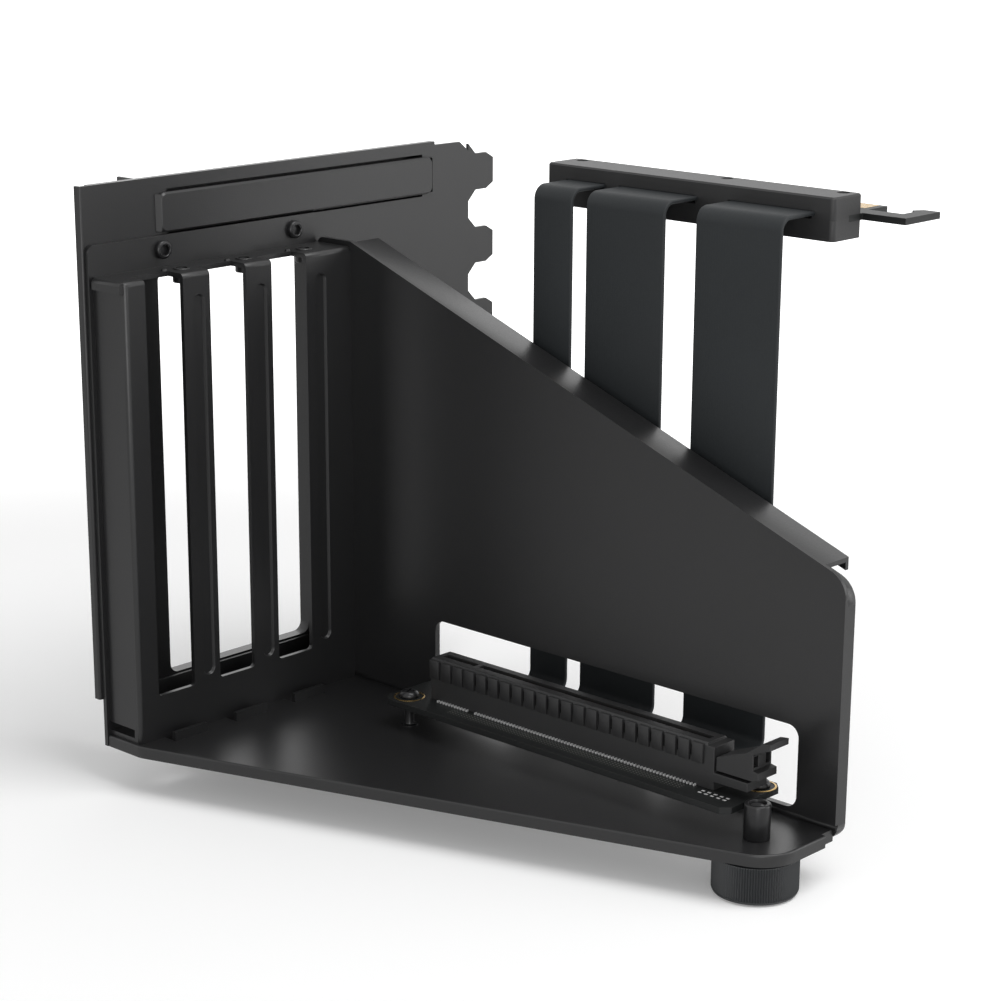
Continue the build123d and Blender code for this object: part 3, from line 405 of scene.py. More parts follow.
def surface(name, colour, roughness, grain_size, grain_height, spread=0.12, rough_spread=0.06,
            metallic=0.0, specular=0.5, patch_size=18.0):
    """A finish with a fine bump, slow changes of tone and of gloss."""
    material = bpy.data.materials.new(name)
    material.use_nodes = True
    nodes, links = material.node_tree.nodes, material.node_tree.links
    shader = nodes["Principled BSDF"]
    shader.inputs["Metallic"].default_value = metallic
    shader.inputs["Specular IOR Level"].default_value = specular
    grain = nodes.new("ShaderNodeGroup")
    grain.node_tree = grain_group()
    grain.inputs["Grain size"].default_value = grain_size
    grain.inputs["Patch size"].default_value = patch_size
    tone = nodes.new("ShaderNodeValToRGB")
    for element, position, change in zip(tone.color_ramp.elements, (0.3, 0.7), (1 - spread, 1 + spread)):
        element.position = position
        element.color = (*[min(1, value * change) for value in colour], 1)
    links.new(grain.outputs["Patches"], tone.inputs["Fac"])
    links.new(tone.outputs["Color"], shader.inputs["Base Color"])
    gloss = nodes.new("ShaderNodeMapRange")
    gloss.inputs["To Min"].default_value = roughness - rough_spread
    gloss.inputs["To Max"].default_value = roughness + rough_spread
    links.new(grain.outputs["Grain"], gloss.inputs["Value"])
    links.new(gloss.outputs["Result"], shader.inputs["Roughness"])
    bump = nodes.new("ShaderNodeBump")
    bump.inputs["Strength"].default_value = 1.0
    bump.inputs["Distance"].default_value = grain_height
    links.new(grain.outputs["Grain"], bump.inputs["Height"])
    links.new(bump.outputs["Normal"], shader.inputs["Normal"])
    return material


def dot_group():
    """Small round dots on a grid in X and Y, inside a rectangle of the board."""
    name = "plated dots"
    if name in bpy.data.node_groups:
        return bpy.data.node_groups[name]
    group = new_group(name, (("Pitch X", 1.0 * MM), ("Pitch Y", 0.8 * MM), ("Radius", 0.18), ("X low", 0.0),
                             ("X high", 1.0), ("Y low", 0.0), ("Y high", 1.0)), ("Dots",))
    nodes, links = group.nodes, group.links
    entry = nodes.new("NodeGroupInput")
    leave = nodes.new("NodeGroupOutput")
    place = nodes.new("ShaderNodeTexCoord")
    apart = nodes.new("ShaderNodeSeparateXYZ")
    links.new(place.outputs["Object"], apart.inputs[0])

    def step(operation, first, second=None):
        node = nodes.new("ShaderNodeMath")
        node.operation = operation
        for socket, value in zip(node.inputs, (first, second)):
            if isinstance(value, (int, float)):
                socket.default_value = value
            elif value is not None:
                links.new(value, socket)
        return node.outputs["Value"]

    def squared_gap(axis):
        cells = step("FRACT", step("DIVIDE", apart.outputs[axis], entry.outputs["Pitch " + axis]))
        return step("POWER", step("SUBTRACT", cells, 0.5), 2.0)

    gap = step("SQRT", step("ADD", squared_gap("X"), squared_gap("Y")))
    dots = step("LESS_THAN", gap, entry.outputs["Radius"])
    for axis in ("X", "Y"):
        past_low = step("GREATER_THAN", apart.outputs[axis], entry.outputs[axis + " low"])
        short_of_high = step("LESS_THAN", apart.outputs[axis], entry.outputs[axis + " high"])
        dots = step("MULTIPLY", step("MULTIPLY", dots, past_low), short_of_high)
    links.new(dots, leave.inputs["Dots"])
    return group


def add_dots(material, area, colour):
    """Mixes plated dots into a finish's colour inside an area of x and y limits."""
    nodes, links = material.node_tree.nodes, material.node_tree.links
    shader = nodes["Principled BSDF"]
    dots = nodes.new("ShaderNodeGroup")
    dots.node_tree = dot_group()
    for label, value in zip(("X low", "X high", "Y low", "Y high"), area):
        dots.inputs[label].default_value = value
    mix = nodes.new("ShaderNodeMix")
    mix.data_type = "RGBA"
    base = shader.inputs["Base Color"].links[0].from_socket
    links.new(dots.outputs["Dots"], mix.inputs["Factor"])
    links.new(base, mix.inputs["A"])
    mix.inputs["B"].default_value = (*colour, 1)
    links.new(mix.outputs["Result"], shader.inputs["Base Color"])


def bump_wave(material, direction, scale, height):
    """Adds even ribs along one direction to a finish's bump."""
    nodes, links = material.node_tree.nodes, material.node_tree.links
    bump = next(node for node in nodes if node.type == "BUMP")
    place = nodes.new("ShaderNodeTexCoord")
    wave = nodes.new("ShaderNodeTexWave")
    wave.bands_direction = direction
    wave.wave_profile = "SIN"
    wave.inputs["Scale"].default_value = scale
    wave.inputs["Distortion"].default_value = 0.0
    second = nodes.new("ShaderNodeBump")
    second.inputs["Strength"].default_value = 1.0
    second.inputs["Distance"].default_value = height
    links.new(place.outputs["Object"], wave.inputs["Vector"])
    links.new(wave.outputs["Fac"], second.inputs["Height"])
    links.new(second.outputs["Normal"], bump.inputs["Normal"])


def finish_values():
    """What each finish is made of. The colours that can be tuned come from the settings."""
    tuned = bpy.context.scene.bracket_finishes
    return {
        "powder coat": dict(
            colour=tuned.powder_colour, roughness=tuned.powder_roughness, grain_size=2600.0,
            grain_height=0.02 * MM, spread=0.10, rough_spread=0.07, patch_size=14.0),
        "black screws": dict(
            colour=(0.018, 0.018, 0.019), roughness=0.30, grain_size=1800.0, grain_height=0.01 * MM,
            metallic=0.35, patch_size=90.0),
        "thread steel": dict(
            colour=(0.32, 0.32, 0.33), roughness=0.32, grain_size=1500.0, grain_height=0.01 * MM,
            metallic=1.0, patch_size=120.0),
        "knob black": dict(
            colour=(0.024, 0.026, 0.028), roughness=0.48, grain_size=2200.0, grain_height=0.02 * MM,
            patch_size=60.0),
        "pad rubber": dict(
            colour=(0.014, 0.014, 0.014), roughness=0.75, grain_size=1400.0, grain_height=0.04 * MM,
            specular=0.3, patch_size=80.0),
        "solder mask": dict(
            colour=tuned.board_colour, roughness=0.5, grain_size=1600.0, grain_height=0.01 * MM,
            spread=0.25, specular=0.35, patch_size=70.0),
        "gold plating": dict(
            colour=tuned.gold_colour, roughness=0.28, grain_size=1500.0, grain_height=0.006 * MM,
            metallic=1.0, patch_size=110.0),
        "socket plastic": dict(
            colour=tuned.plastic_colour, roughness=0.46, grain_size=1900.0, grain_height=0.02 * MM,
            patch_size=45.0),
        "tinned tails": dict(
            colour=(0.68, 0.68, 0.68), roughness=0.42, grain_size=1500.0, grain_height=0.01 * MM,
            metallic=0.45, patch_size=200.0),
        "cable jacket": dict(
            colour=tuned.cable_colour, roughness=0.62, grain_size=1500.0, grain_height=0.01 * MM,
            specular=0.35, patch_size=26.0),
        "plug shell": dict(
            colour=tuned.plug_colour, roughness=0.50, grain_size=2400.0, grain_height=0.02 * MM,
            specular=0.42, patch_size=35.0),
        "part black": dict(
            colour=(0.02, 0.02, 0.02), roughness=0.35, grain_size=1500.0, grain_height=0.01 * MM,
            patch_size=300.0),
    }


finishes = {}


def finish_named(name):
    """The finish with this name, made the first time that it is asked for."""
    if name in finishes:
        return finishes[name]
    made = surface(name, **finish_values()[name])
    if name == "solder mask":
        low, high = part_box("riser_board")
        area = (low.x + 20 * MM, high.x - 16 * MM, low.y + 3.0 * MM, low.y + 5.7 * MM)
        add_dots(made, area, (0.22, 0.22, 0.2))
    elif name == "cable jacket":
        bump_wave(made, "X", 420.0, 0.005 * MM)
    finishes[name] = made
    return made


# Operators, one for each piece or group of like pieces


class BRACKET_OT_stage(bpy.types.Operator):
    """Sets the camera, the pale floor and the studio lamps"""

    bl_idname = "bracket.stage"
    bl_label = "Stage"

    def execute(self, context):
        stage = context.scene.bracket_stage
        context.scene.view_settings.view_transform = "Standard"
        self.camera(context, stage)
        self.floor(cad_low.z, stage.floor_glow)
        self.sky(context, stage.sky_strength)
        middle = (cad_low + cad_high) / 2
        for name, offset, size, setting in LAMPS:
            self.lamp(context, name, middle + Vector(offset), middle, size, getattr(stage, setting))
        return {"FINISHED"}

    def camera(self, context, stage):
        lens = bpy.data.cameras.new("studio camera")
        lens.sensor_width = 36.0
        lens.lens = stage.camera_lens
        lens.shift_x, lens.shift_y = stage.camera_shift
        lens.clip_start = 0.01
        lens.clip_end = 20.0
        eye = bpy.data.objects.new("studio camera", lens)
        context.scene.collection.objects.link(eye)
        facing = Euler((pi / 2 + stage.camera_pitch, 0, stage.camera_yaw - pi / 2)).to_matrix()
        turn = facing @ Matrix.Rotation(stage.camera_roll, 3, "Z")
        eye.matrix_world = Matrix.Translation(stage.camera_place) @ turn.to_4x4()
        context.scene.camera = eye

    def floor(self, height, own_glow):
        """A pale floor that takes shadows near the object and glows evenly farther out."""
        choose()
        bpy.ops.mesh.primitive_plane_add(size=8, location=(0, 0, height))
        plane = bpy.context.object
        plane.name = plane.data.name = "floor"
        settle(plane, plane.location.copy())
        material = bpy.data.materials.new("pale floor")
        material.use_nodes = True
        nodes, links = material.node_tree.nodes, material.node_tree.links
        shader = nodes["Principled BSDF"]
        shader.inputs["Base Color"].default_value = (0.86, 0.86, 0.86, 1)
        shader.inputs["Roughness"].default_value = 0.9
        shader.inputs["Specular IOR Level"].default_value = 0.1
        place = nodes.new("ShaderNodeTexCoord")
        reach = nodes.new("ShaderNodeVectorMath")
        reach.operation = "LENGTH"
        fade = nodes.new("ShaderNodeMapRange")
        fade.interpolation_type = "SMOOTHSTEP"
        fade.inputs["From Min"].default_value = 0.22
        fade.inputs["From Max"].default_value = 0.55
        fade.inputs["To Min"].default_value = own_glow
        fade.inputs["To Max"].default_value = 1.0
        rays = nodes.new("ShaderNodeLightPath")
        share = nodes.new("ShaderNodeMath")
        share.operation = "MULTIPLY"
        glow = nodes.new("ShaderNodeEmission")
        glow.inputs["Color"].default_value = (1, 1, 1, 1)
        both = nodes.new("ShaderNodeAddShader")
        links.new(place.outputs["Object"], reach.inputs[0])
        links.new(reach.outputs["Value"], fade.inputs["Value"])
        links.new(rays.outputs["Is Camera Ray"], share.inputs[0])
        links.new(fade.outputs["Result"], share.inputs[1])
        links.new(share.outputs["Value"], glow.inputs["Strength"])
        links.new(shader.outputs["BSDF"], both.inputs[0])
        links.new(glow.outputs["Emission"], both.inputs[1])
        links.new(both.outputs["Shader"], nodes["Material Output"].inputs["Surface"])
        plane.data.materials.append(material)

    def sky(self, context, strength):
        """An even sky, at full white for the camera and in reflections."""
        world = bpy.data.worlds.new("even sky")
        world.use_nodes = True
        nodes, links = world.node_tree.nodes, world.node_tree.links
        back = nodes["Background"]
        back.inputs["Color"].default_value = (1, 1, 1, 1)
        rays = nodes.new("ShaderNodeLightPath")
        white = rays.outputs["Is Camera Ray"]
        for kind in ("Is Transmission Ray", "Is Glossy Ray"):
            either = nodes.new("ShaderNodeMath")
            either.operation = "MAXIMUM"
            links.new(white, either.inputs[0])
            links.new(rays.outputs[kind], either.inputs[1])
            white = either.outputs["Value"]
        level = nodes.new("ShaderNodeMapRange")
        level.inputs["To Min"].default_value = strength
        level.inputs["To Max"].default_value = 1.0
        links.new(white, level.inputs["Value"])
        links.new(level.outputs["Result"], back.inputs["Strength"])
        context.scene.world = world

    def lamp(self, context, name, place, target, size, power):
        light = bpy.data.lights.new(name, "AREA")
        light.shape = "DISK"
        light.size = size
        light.energy = power
        item = bpy.data.objects.new(name, light)
        item.location = place
        item.rotation_euler = (target - place).to_track_quat("-Z", "Y").to_euler()
        context.scene.collection.objects.link(item)


class BRACKET_OT_sheets(bpy.types.Operator):
    """Coats the folded steel sheets and adds their small pressed forms and strips"""

    bl_idname = "bracket.sheets"
    bl_label = "Steel sheets"

    def execute(self, context):
        sizes = context.scene.bracket_sizes
        coat = finish_named("powder coat")
        for node in ("rear_plate", "case_flange", "slot_frame", "side_panel"):
            soften(node, sizes.sheet_edge, coat)
        soften("base_plate", sizes.plate_edge, coat)
        low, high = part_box("slot_frame")
        ledge_top = low.z + LEDGE_HEIGHT
        self.pimples(coat, low, ledge_top)
        self.bridge(coat)
        self.collars(coat, low, ledge_top)
        self.strips(coat, low, high)
        return {"FINISHED"}

    def pimples(self, coat, low, ledge_top):
        """Three small pimples on the ledge, one for each slot."""
        seed = turned("ledge_pimple", in_mm(
            (0.75, -0.2), (0.75, 0.15), (0.6, 0.45), (0.3, 0.6), (0.05, 0.64)), 16)
        place = Vector((low.x + 6.4 * MM, low.y + 19.0 * MM, ledge_top))
        for number in range(3):
            pimple = copied(seed, f"ledge_pimple_{number + 1}", place + Vector((0, number * SLOT_PITCH, 0)))
            seated(pimple, "bracket", coat)
        discard(seed)

    def bridge(self, coat):
        """Lines the rear plate's raised bridge from behind and slopes its two ends."""
        foot, top = 57.4 * MM, 67.3 * MM
        start, end = 2.6 * MM, 97.8 * MM
        rise, sheet = 1.3 * MM, 0.9 * MM
        depth, wall = 3.0 * MM, 0.4 * MM
        edge = 0.12 * MM
        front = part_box("rear_plate")[1].x - rise
        back = front - sheet
        lining = block("bridge_lining", (back - depth, start - 1.0 * MM, foot - 1.2 * MM),
                       (back, end + 1.0 * MM, top + 1.3 * MM))
        pick(lining, lambda co, normal: normal.x > 0.9)
        bpy.ops.mesh.inset(thickness=wall)
        extruded((wall - depth, 0, 0))
        leave_edit()
        rounded(lining, edge)
        seated(lining, "bracket", coat)
        overlap, slope = 0.3 * MM, 0.75 * MM
        for name, near, far in (("bridge_ramp_1", start + overlap, start - slope),
                                ("bridge_ramp_2", end - overlap, end + slope)):
            ramp = block(name, (front - 0.1 * MM, min(near, far), foot + 0.35 * MM),
                         (front + 1.26 * MM, max(near, far), top - 0.35 * MM))
            pick(ramp, lambda co, normal: co.x > front and abs(co.y - far) < 0.01 * MM, "VERT")
            bpy.ops.transform.translate(value=(-1.2 * MM, 0, 0))
            leave_edit()
            rounded(ramp, edge)
            seated(ramp, "bracket", coat)

    def collars(self, coat, low, ledge_top):
        """Raised collars round the ledge's three screw holes."""
        collar = turned("card_screw_collar", in_mm((2.1, -3.3), (2.25, -3.15), (2.25, 0.15), (2.1, 0.3)), 40)
        cut(collar, turned("bore", in_mm((1.45, -5), (1.45, 2))))
        smooth(collar)
        settle(collar, (low.x + 7.07 * MM, low.y + 24.0 * MM, ledge_top))
        for number in (2, 3):
            twin = copied(collar, f"card_screw_collar_{number}", (0, SLOT_PITCH * (number - 1), 0))
            seated(twin, "bracket", coat)
        seated(collar, "bracket", coat)

    def strips(self, coat, low, high):
        """The folded strips that close the frame's foot, and the case flange's bent tip."""
        floor_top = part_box("base_plate")[0].z + BASE_THICKNESS
        flange_low, flange_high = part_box("case_flange")
        back = block("tray_back_strip", (low.x + 0.02 * MM, low.y + 1.3 * MM, floor_top + 0.9 * MM),
                     (low.x + 1.15 * MM, high.y - 1.4 * MM, floor_top + 10.4 * MM), 0.25 * MM)
        tip = block("case_flange_tip", (flange_low.x + 0.1 * MM, 0.04 * MM, flange_high.z - 0.6 * MM),
                    (flange_high.x - 1.4 * MM, flange_high.y - 0.04 * MM, flange_high.z + 3.0 * MM), 0.2 * MM)
        foot = block("tray_foot_strip", (low.x + 1.3 * MM, low.y + 2.5 * MM, floor_top + 0.02 * MM),
                     (high.x - 1.35 * MM, high.y - 1.4 * MM, floor_top + 0.7 * MM), 0.2 * MM)
        for strip in (back, tip, foot):
            seated(strip, "bracket", coat)


class BRACKET_OT_screws(bpy.types.Operator):
    """Models the button screws of the frame, the pan heads of the board and the plug's screws"""

    bl_idname = "bracket.screws"
    bl_label = "Screws"

    def execute(self, context):
        black = finish_named("black screws")
        for item in self.frame_screws():
            seated(item, "bracket", black)
            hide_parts("frame_screws")
        for item in self.board_screws():
            seated(item, "bracket", black)
            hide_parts("board_screws")
        for item in self.plug_screws():
            seated(item, "bracket", black)
            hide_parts("plug_screws")
        return {"FINISHED"}

    def dome(self, name, radius, height, sides=40):
        """A domed head with its underside at zero."""
        shoulder, crown, steps = 0.22, 0.42, 7
        stations = [(radius * 0.94, 0.0), (radius, height * 0.08), (radius, height * shoulder)]
        for step in range(1, steps):
            angle = step * pi / 2 / steps
            stations.append((radius * (crown + (1 - crown) * cos(angle)),
                             height * (shoulder + (1 - shoulder) * sin(angle))))
        return turned(name, stations, sides)

    def cross_recess(self, head, length, width, floor, edge, turn):
        """Cuts a cross recess into a head, down to its floor."""
        for quarter in (0, pi / 2):
            tool = block("cross_tool", (-length / 2, -width / 2, floor),
                         (length / 2, width / 2, 3 * MM), edge)
            settle(tool, (0, 0, 0), (0, 0, quarter + turn))
            cut(head, tool)

    def frame_screws(self):
        low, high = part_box("frame_screws")
        radius = 2.3 * MM
        head = turned("frame_screw_head", in_mm(
            (2.2, 0.0), (2.3, 0.1), (2.3, 0.85), (2.22, 1.1),
            (2.0, 1.3), (1.7, 1.4), (1.62, 1.42), (1.5, 1.3)), 48)
        cut(head, turned("hexagon", in_mm((1.45, 0.35), (1.45, 3)), 6))
        shank = turned("frame_screw_shank", in_mm((1.15, -2.1), (1.2, -2.0), (1.2, 0.1)), 24)
        screw = joined([head, shank], "frame_screw_1")
        smooth(screw)
        settle(screw, (high.x - 1.5 * MM, low.y + radius, (low.z + high.z) / 2), (0, pi / 2, 0))
        return screw, copied(screw, "frame_screw_2", (0, high.y - low.y - 2 * radius, 0))

    def board_screws(self):
        low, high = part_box("board_screws")
        radius, tall = 2.5 * MM, 1.6 * MM
        head = self.dome("board_screw_head", radius, tall)
        self.cross_recess(head, 3.0 * MM, 0.54 * MM, 0.85 * MM, 0.05 * MM, 0.4)
        shank = turned("board_screw_shank", in_mm((1.1, -5.1), (1.2, -5.0), (1.2, 0.1)), 24)
        screw = joined([head, shank], "board_screw_1")
        smooth(screw)
        return at_two_corners(screw, "board_screw_2", low, high, radius, high.z - tall)

    def plug_screws(self):
        low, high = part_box("plug_screws")
        radius, tall = 1.5 * MM, 1.2 * MM
        head = self.dome("plug_screw_head", radius, tall, 28)
        self.cross_recess(head, 1.7 * MM, 0.34 * MM, 0.65 * MM, 0.03 * MM, 0.2)
        shank = turned("plug_screw_shank", in_mm((0.7, -6.9), (0.78, -6.7), (0.78, 0.1)), 20)
        screw = joined([head, shank], "plug_screw_1")
        smooth(screw)
        settle(screw, (low.x + radius, low.y + radius, high.z - tall))
        middle = copied(screw, "plug_screw_2", (46.0 * MM, 0, 0))
        return screw, middle, copied(screw, "plug_screw_3", (80.0 * MM, 0, 0))


class BRACKET_OT_thumb_foot(bpy.types.Operator):
    """Models the knurled thumb knob, its rubber pad and its threaded stud"""

    bl_idname = "bracket.thumb_foot"
    bl_label = "Thumb foot"

    def execute(self, context):
        sizes = context.scene.bracket_sizes
        low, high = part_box("foot_knob")
        centre = (low + high) / 2
        radius = (high.x - low.x) / 2 - KNOB_TRIM
        self.knob(sizes, Vector((centre.x, centre.y, low.z)), radius, high.z - low.z)
        self.pad(centre)
        self.stud(sizes, centre)
        soften("foot_barrel", 0.15 * MM, finish_named("black screws"))
        return {"FINISHED"}

    def knob(self, sizes, place, radius, height):
        rim = 0.75 * MM
        pad_radius, bore_radius = 8.05 * MM, 2.05 * MM
        knob = turned("thumb_knob", [
            (8.1 * MM, 0.0), (radius - rim, 0.0), (radius - 0.3 * MM, 0.18 * MM), (radius - 0.05 * MM, rim),
            (radius, rim + 0.1 * MM), (radius, height / 2), (radius, height - 0.3 * MM),
            (radius - 0.2 * MM, height - 0.05 * MM), (radius - 0.4 * MM, height),
            (radius * 0.6, height), (2.1 * MM, height)], sizes.knurl_count * 2)
        step = pi / sizes.knurl_count

        def in_groove(co, normal):
            across = Vector((co.x, co.y))
            angle = across.angle_signed(Vector((1, 0)), 0)
            return across.length > radius - 0.02 * MM and round(angle / step) % 2 == 1

        pick(knob, in_groove, "VERT")
        ratio = 1 - sizes.knurl_depth / radius
        bpy.ops.transform.resize(value=(ratio, ratio, 1), center_override=(0, 0, 0))
        leave_edit()
        cut(knob, turned("pad_seat", [(pad_radius, -1 * MM), (pad_radius, 1.2 * MM)], 48))
        cut(knob, turned("stud_bore", [(bore_radius, -1 * MM), (bore_radius, height + 1 * MM)]))
        smooth(knob, 25)
        settle(knob, place)
        seated(knob, "foot_knob", finish_named("knob black"))
        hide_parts("foot_knob")

    def pad(self, centre):
        low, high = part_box("foot_pad")
        radius = (high.x - low.x) / 2
        pad = turned("rubber_pad", [
            (radius * 0.7, 0.12 * MM), (radius * 0.74, 0.0), (radius - 0.3 * MM, 0.0),
            (radius - 0.08 * MM, 0.1 * MM), (radius, 0.32 * MM), (radius, high.z - low.z)], 64)
        settle(pad, (centre.x, centre.y, low.z))
        seated(pad, "foot_knob", finish_named("pad rubber"))
        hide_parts("foot_pad")

    def stud(self, sizes, centre):
        """A stud with a round groove for each turn of its thread."""
        low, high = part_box("foot_stud")
        radius = (high.x - low.x) / 2
        core = radius - 0.36 * MM
        length = high.z - low.z
        stations = [(core, 0.0)]
        height = 0.0
        while height + sizes.thread_pitch < length - 0.4 * MM:
            stations.append((radius, height + sizes.thread_pitch * 0.45))
            stations.append((radius, height + sizes.thread_pitch * 0.55))
            height += sizes.thread_pitch
            stations.append((core, height))
        stations.append((core, length - 0.05 * MM))
        stations.append((core - 0.2 * MM, length))
        stud = turned("threaded_stud", stations, 24)
        settle(stud, (centre.x, centre.y, low.z))
        seated(stud, "foot_stud", finish_named("thread steel"))
        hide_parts("foot_stud")


class BRACKET_OT_riser_board(bpy.types.Operator):
    """Finishes the riser board and adds its rings, standoffs, pads and small surface parts"""

    bl_idname = "bracket.riser_board"
    bl_label = "Riser board"

    def execute(self, context):
        soften("riser_board", 0.08 * MM, finish_named("solder mask"))
        self.rings()
        self.standoffs()
        low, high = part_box("riser_board")
        self.pads(Vector((high.x - 11.2 * MM, low.y + 4.4 * MM, high.z)))
        self.parts(Vector((low.x + 16 * MM, high.y - 4.2 * MM, high.z)))
        return {"FINISHED"}

    def rings(self):
        """Narrow plated rings round the board's two holes."""
        low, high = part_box("board_rings")
        ring = turned("plated_ring_1", in_mm((4.0, 0.0), (4.0, 0.07), (3.94, 0.1)), 72)
        cut(ring, turned("bore", in_mm((3.55, -1), (3.55, 1)), 72))
        smooth(ring)
        for item in at_two_corners(ring, "plated_ring_2", low, high, 3.7 * MM, low.z):
            seated(item, "bracket", finish_named("gold plating"))
            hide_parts("board_rings")

    def standoffs(self):
        """Slim standoffs, each with a foot on the base and a shoulder under the board."""
        low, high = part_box("board_standoffs")
        tall = high.z - low.z
        foot = in_mm((2.1, 0.0), (2.1, 0.25), (1.35, 0.5), (1.25, 0.9))
        head = [(1.25 * MM, tall - 0.9 * MM), (1.35 * MM, tall - 0.5 * MM), (2.1 * MM, tall - 0.3 * MM),
                (2.1 * MM, tall)]
        post = turned("board_standoff_1", foot + head, 40)
        for item in at_two_corners(post, "board_standoff_2", low, high, 2.2 * MM, low.z):
            seated(item, "bracket", finish_named("black screws"))
            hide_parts("board_standoffs")

    def pads(self, place):
        """Two rows of bare pads at the board's end."""
        seed = block("pad_seed", at(-0.45, -0.3, -0.01), at(0.45, 0.3, 0.05), 0.03 * MM, 1)
        pads = []
        for column in range(5):
            for row in range(2):
                spot = place + at(column * 1.8, row * 1.3, 0)
                pads.append(copied(seed, f"pad_{column}_{row}", spot))
        discard(seed)
        seated(joined(pads, "board_pads"), "bracket", finish_named("tinned tails"))

    def parts(self, place):
        """A row of small parts with tinned ends, behind the socket."""
        body = block("part_body", at(-0.42, -0.4, 0), at(0.42, 0.4, 0.45), 0.05 * MM, 1)
        left = block("part_end", at(-0.75, -0.41, 0), at(-0.4, 0.41, 0.47), 0.05 * MM, 1)
        ends = joined([left, copied(left, "part_end_2", at(1.15, 0, 0))], "part_ends")
        bodies, tips = [], []
        for column in range(9):
            spot = place + at(column * 9.6, 0, 0)
            bodies.append(copied(body, f"part_body_{column}", spot))
            tips.append(copied(ends, f"part_tip_{column}", spot))
        discard(body, ends)
        seated(joined(bodies, "board_parts"), "bracket", finish_named("part black"))
        seated(joined(tips, "board_part_ends"), "bracket", finish_named("tinned tails"))


class BRACKET_OT_card_socket(bpy.types.Operator):
    """Finishes the card socket and latch and lines the card slot with spring contacts"""

    bl_idname = "bracket.card_socket"
    bl_label = "Card socket"

    def execute(self, context):
        sizes = context.scene.bracket_sizes
        plastic = finish_named("socket plastic")
        soften("card_socket", sizes.moulded_edge, plastic)
        soften("socket_latch", sizes.moulded_edge, plastic)
        soften("socket_contacts", 0.04 * MM, finish_named("tinned tails"), 1)
        low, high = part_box("card_socket")
        self.crown(low, high, plastic)
        self.springs(low.x + 3.0 * MM, (low.y + high.y) / 2, high.z)
        return {"FINISHED"}

    def crown(self, low, high, plastic):
        """The row of raised blocks along both upper sides of the socket."""
        count, length = 22, 89.0 * MM
        pitch = length / count
        far_corner = at(-0.75, 0.3, -0.35) + Vector((pitch, 0, 0))
        seed = block("crown_seed", at(0.1, -0.72, -5.3), far_corner, 0.14 * MM)
        pick(seed, lambda co, normal: co.z < -5 * MM and co.y < -0.3 * MM, "VERT")
        bpy.ops.transform.translate(value=(-0.12 * MM, 0.22 * MM, 0))
        leave_edit()
        front = copied(seed, "crown_row", (0, 0, 0))
        repeated(front, count, pitch)
        settle(front, (low.x, low.y, high.z))
        back = copied(seed, "crown_row", (0, 0, 0))
        settle(back, (pitch - 0.65 * MM, 0, 0), (0, 0, pi))
        repeated(back, count, pitch)
        settle(back, (low.x, high.y, high.z - 0.7 * MM))
        discard(seed)
        seated(joined([front, back], "socket_crown"), "bracket", plastic)

    def springs(self, first_x, middle_y, top):
        """The springs on both sides of the card slot, before and behind its key."""
        seed = self.spring("contact_spring")
        rows = []
        for turn in (0, pi):
            for start, count in ((first_x, 11), (first_x + 13.0 * MM, 71)):
                row = copied(seed, "spring_row", (0, 0, 0))
                settle(row, (0, 0, 0), (0, 0, turn))
                repeated(row, count, CONTACT_PITCH)
                settle(row, (start, middle_y, top))
                rows.append(row)
        discard(seed)
        seated(joined(rows, "slot_springs"), "bracket", finish_named("gold plating"))

    def spring(self, name):
        """One bowed contact beside the card slot, drawn down from the socket's top."""
        choose()
        bpy.ops.mesh.primitive_plane_add(size=1, location=(0, 0, 0))
        piece = bpy.context.object
        piece.name = piece.data.name = name
        piece.scale = (0.4 * MM, 0.12 * MM, 1)
        settle(piece, (0, 0.88 * MM, -1.1 * MM))
        bpy.ops.object.mode_set(mode="EDIT")
        bpy.ops.mesh.select_all(action="SELECT")
        for sideways, down in ((-0.25, -1.0), (-0.15, -1.0), (0.2, -1.4), (0.2, -2.2)):
            extruded((0, sideways * MM, down * MM))
        bpy.ops.mesh.select_all(action="SELECT")
        bpy.ops.mesh.normals_make_consistent(inside=False)
        leave_edit()
        return piece


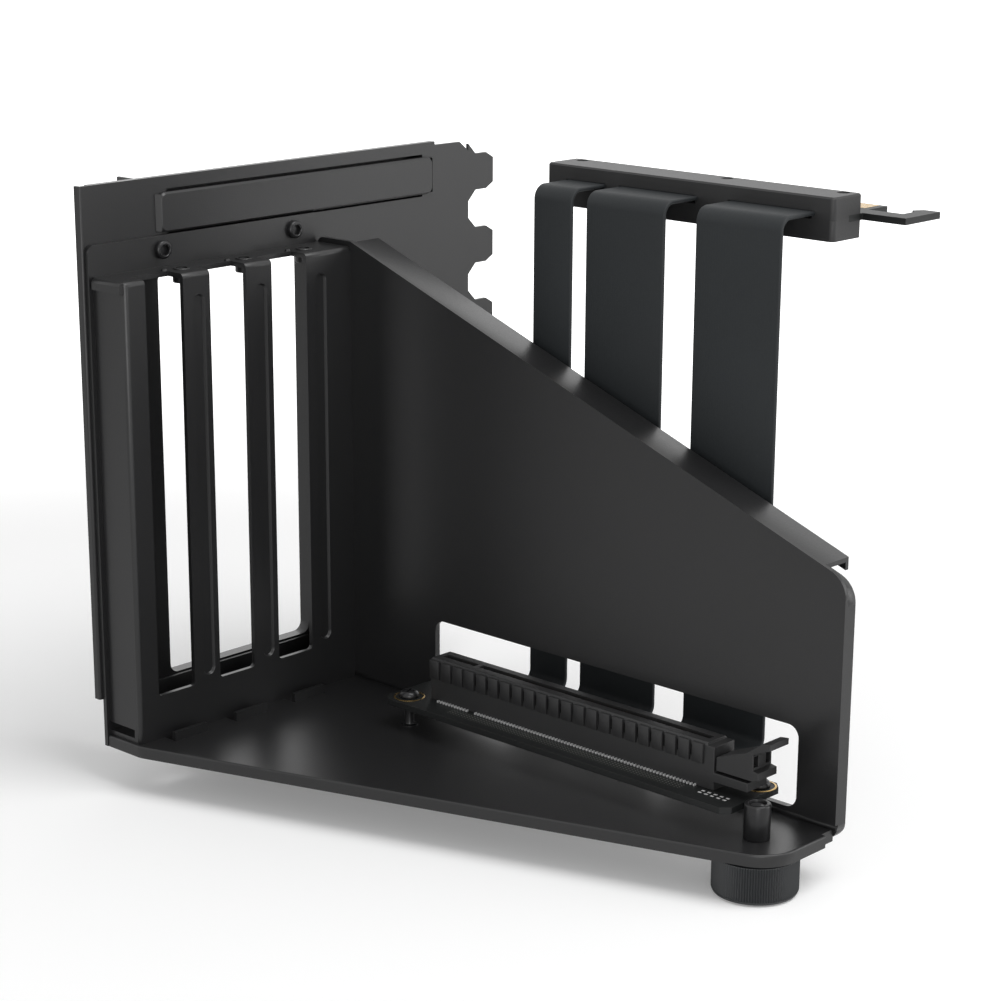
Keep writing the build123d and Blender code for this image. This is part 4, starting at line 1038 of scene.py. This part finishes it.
class BRACKET_OT_flat_cables(bpy.types.Operator):
    """Models the three flat cables along their bends"""

    bl_idname = "bracket.flat_cables"
    bl_label = "Flat cables"

    def execute(self, context):
        jacket = finish_named("cable jacket")
        for number, growth in enumerate(CABLE_GROWTH, 1):
            node = f"ribbon_cable_{number}"
            low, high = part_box(node)
            high.x += growth
            cable = self.cable(f"flat_cable_{number}", low, high, context.scene.bracket_sizes)
            seated(cable, "bracket", jacket)
            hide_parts(node)
        return {"FINISHED"}

    def cable(self, name, low, high, sizes):
        """Runs back from the board, bends up behind the wall and bends back again to the plug."""
        half = sizes.cable_thickness / 2
        bend = sizes.cable_bend
        middle_x = (low.x + high.x) / 2
        plane_y = sizes.cable_plane
        rise_start = low.z + half + bend
        rise_end = high.z - half - bend
        choose()
        bpy.ops.mesh.primitive_plane_add(size=1, location=(0, 0, 0))
        piece = bpy.context.object
        piece.name = piece.data.name = name
        piece.scale = (high.x - low.x - 0.3 * MM, sizes.cable_thickness, 1)
        settle(piece, (middle_x, low.y, low.z + half), (pi / 2, 0, 0))
        bpy.ops.object.mode_set(mode="EDIT")
        bpy.ops.mesh.select_all(action="SELECT")
        extruded((0, plane_y - bend - low.y, 0))
        first_centre = (middle_x, plane_y - bend, rise_start)
        bpy.ops.mesh.spin(steps=10, angle=-pi / 2, center=first_centre, axis=(1, 0, 0))
        for share in (0.3, 0.4, 0.3):
            extruded((0, 0, (rise_end - rise_start) * share))
        second_centre = (middle_x, plane_y + bend, rise_end)
        bpy.ops.mesh.spin(steps=10, angle=pi / 2, center=second_centre, axis=(1, 0, 0))
        extruded((0, high.y - plane_y - bend, 0))
        bpy.ops.mesh.select_all(action="SELECT")
        bpy.ops.mesh.remove_doubles(threshold=0.001 * MM)
        bpy.ops.mesh.normals_make_consistent(inside=False)
        leave_edit()
        rounded(piece, 0.42 * MM, 4, 60, 40)
        return piece


class BRACKET_OT_edge_plug(bpy.types.Operator):
    """Finishes the edge plug's shells, board and fingers"""

    bl_idname = "bracket.edge_plug"
    bl_label = "Edge plug"

    def execute(self, context):
        sizes = context.scene.bracket_sizes
        shell = finish_named("plug shell")
        soften("plug_base", sizes.moulded_edge, shell)
        soften("plug_cover", sizes.moulded_edge, shell)
        soften("plug_board", 0.08 * MM, finish_named("solder mask"))
        soften("plug_fingers", 0.0, finish_named("gold plating"))
        low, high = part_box("plug_base")
        tab = block("plug_end_tab", (low.x - 2.0 * MM, low.y + 0.5 * MM, high.z - 2.2 * MM),
                    (low.x + 0.4 * MM, low.y + 4.0 * MM, high.z - 0.2 * MM), 0.15 * MM)
        seated(tab, "bracket", shell)
        return {"FINISHED"}


class BRACKET_PT_sidebar(bpy.types.Panel):
    bl_idname = "BRACKET_PT_sidebar"
    bl_label = "Card bracket"
    bl_space_type = "VIEW_3D"
    bl_region_type = "UI"
    bl_category = "Card bracket"

    def draw(self, context):
        scene = context.scene
        for group in (scene.bracket_finishes, scene.bracket_sizes, scene.bracket_stage):
            box = self.layout.box()
            for key in group.__annotations__:
                box.prop(group, key)
        for step in STEPS:
            self.layout.operator(step.bl_idname)


STEPS = (
    BRACKET_OT_stage,
    BRACKET_OT_sheets,
    BRACKET_OT_screws,
    BRACKET_OT_thumb_foot,
    BRACKET_OT_riser_board,
    BRACKET_OT_card_socket,
    BRACKET_OT_flat_cables,
    BRACKET_OT_edge_plug,
)
CLASSES = (BracketFinishSettings, BracketSizeSettings, BracketStageSettings, *STEPS, BRACKET_PT_sidebar)


def register():
    for item in CLASSES:
        bpy.utils.register_class(item)
    bpy.types.Scene.bracket_finishes = bpy.props.PointerProperty(type=BracketFinishSettings)
    bpy.types.Scene.bracket_sizes = bpy.props.PointerProperty(type=BracketSizeSettings)
    bpy.types.Scene.bracket_stage = bpy.props.PointerProperty(type=BracketStageSettings)


def unregister():
    del bpy.types.Scene.bracket_stage
    del bpy.types.Scene.bracket_sizes
    del bpy.types.Scene.bracket_finishes
    for item in reversed(CLASSES):
        bpy.utils.unregister_class(item)


def main():
    register()
    bpy.ops.bracket.stage()
    bpy.ops.bracket.sheets()
    bpy.ops.bracket.screws()
    bpy.ops.bracket.thumb_foot()
    bpy.ops.bracket.riser_board()
    bpy.ops.bracket.card_socket()
    bpy.ops.bracket.flat_cables()
    bpy.ops.bracket.edge_plug()


if __name__ == "__main__":
    main()
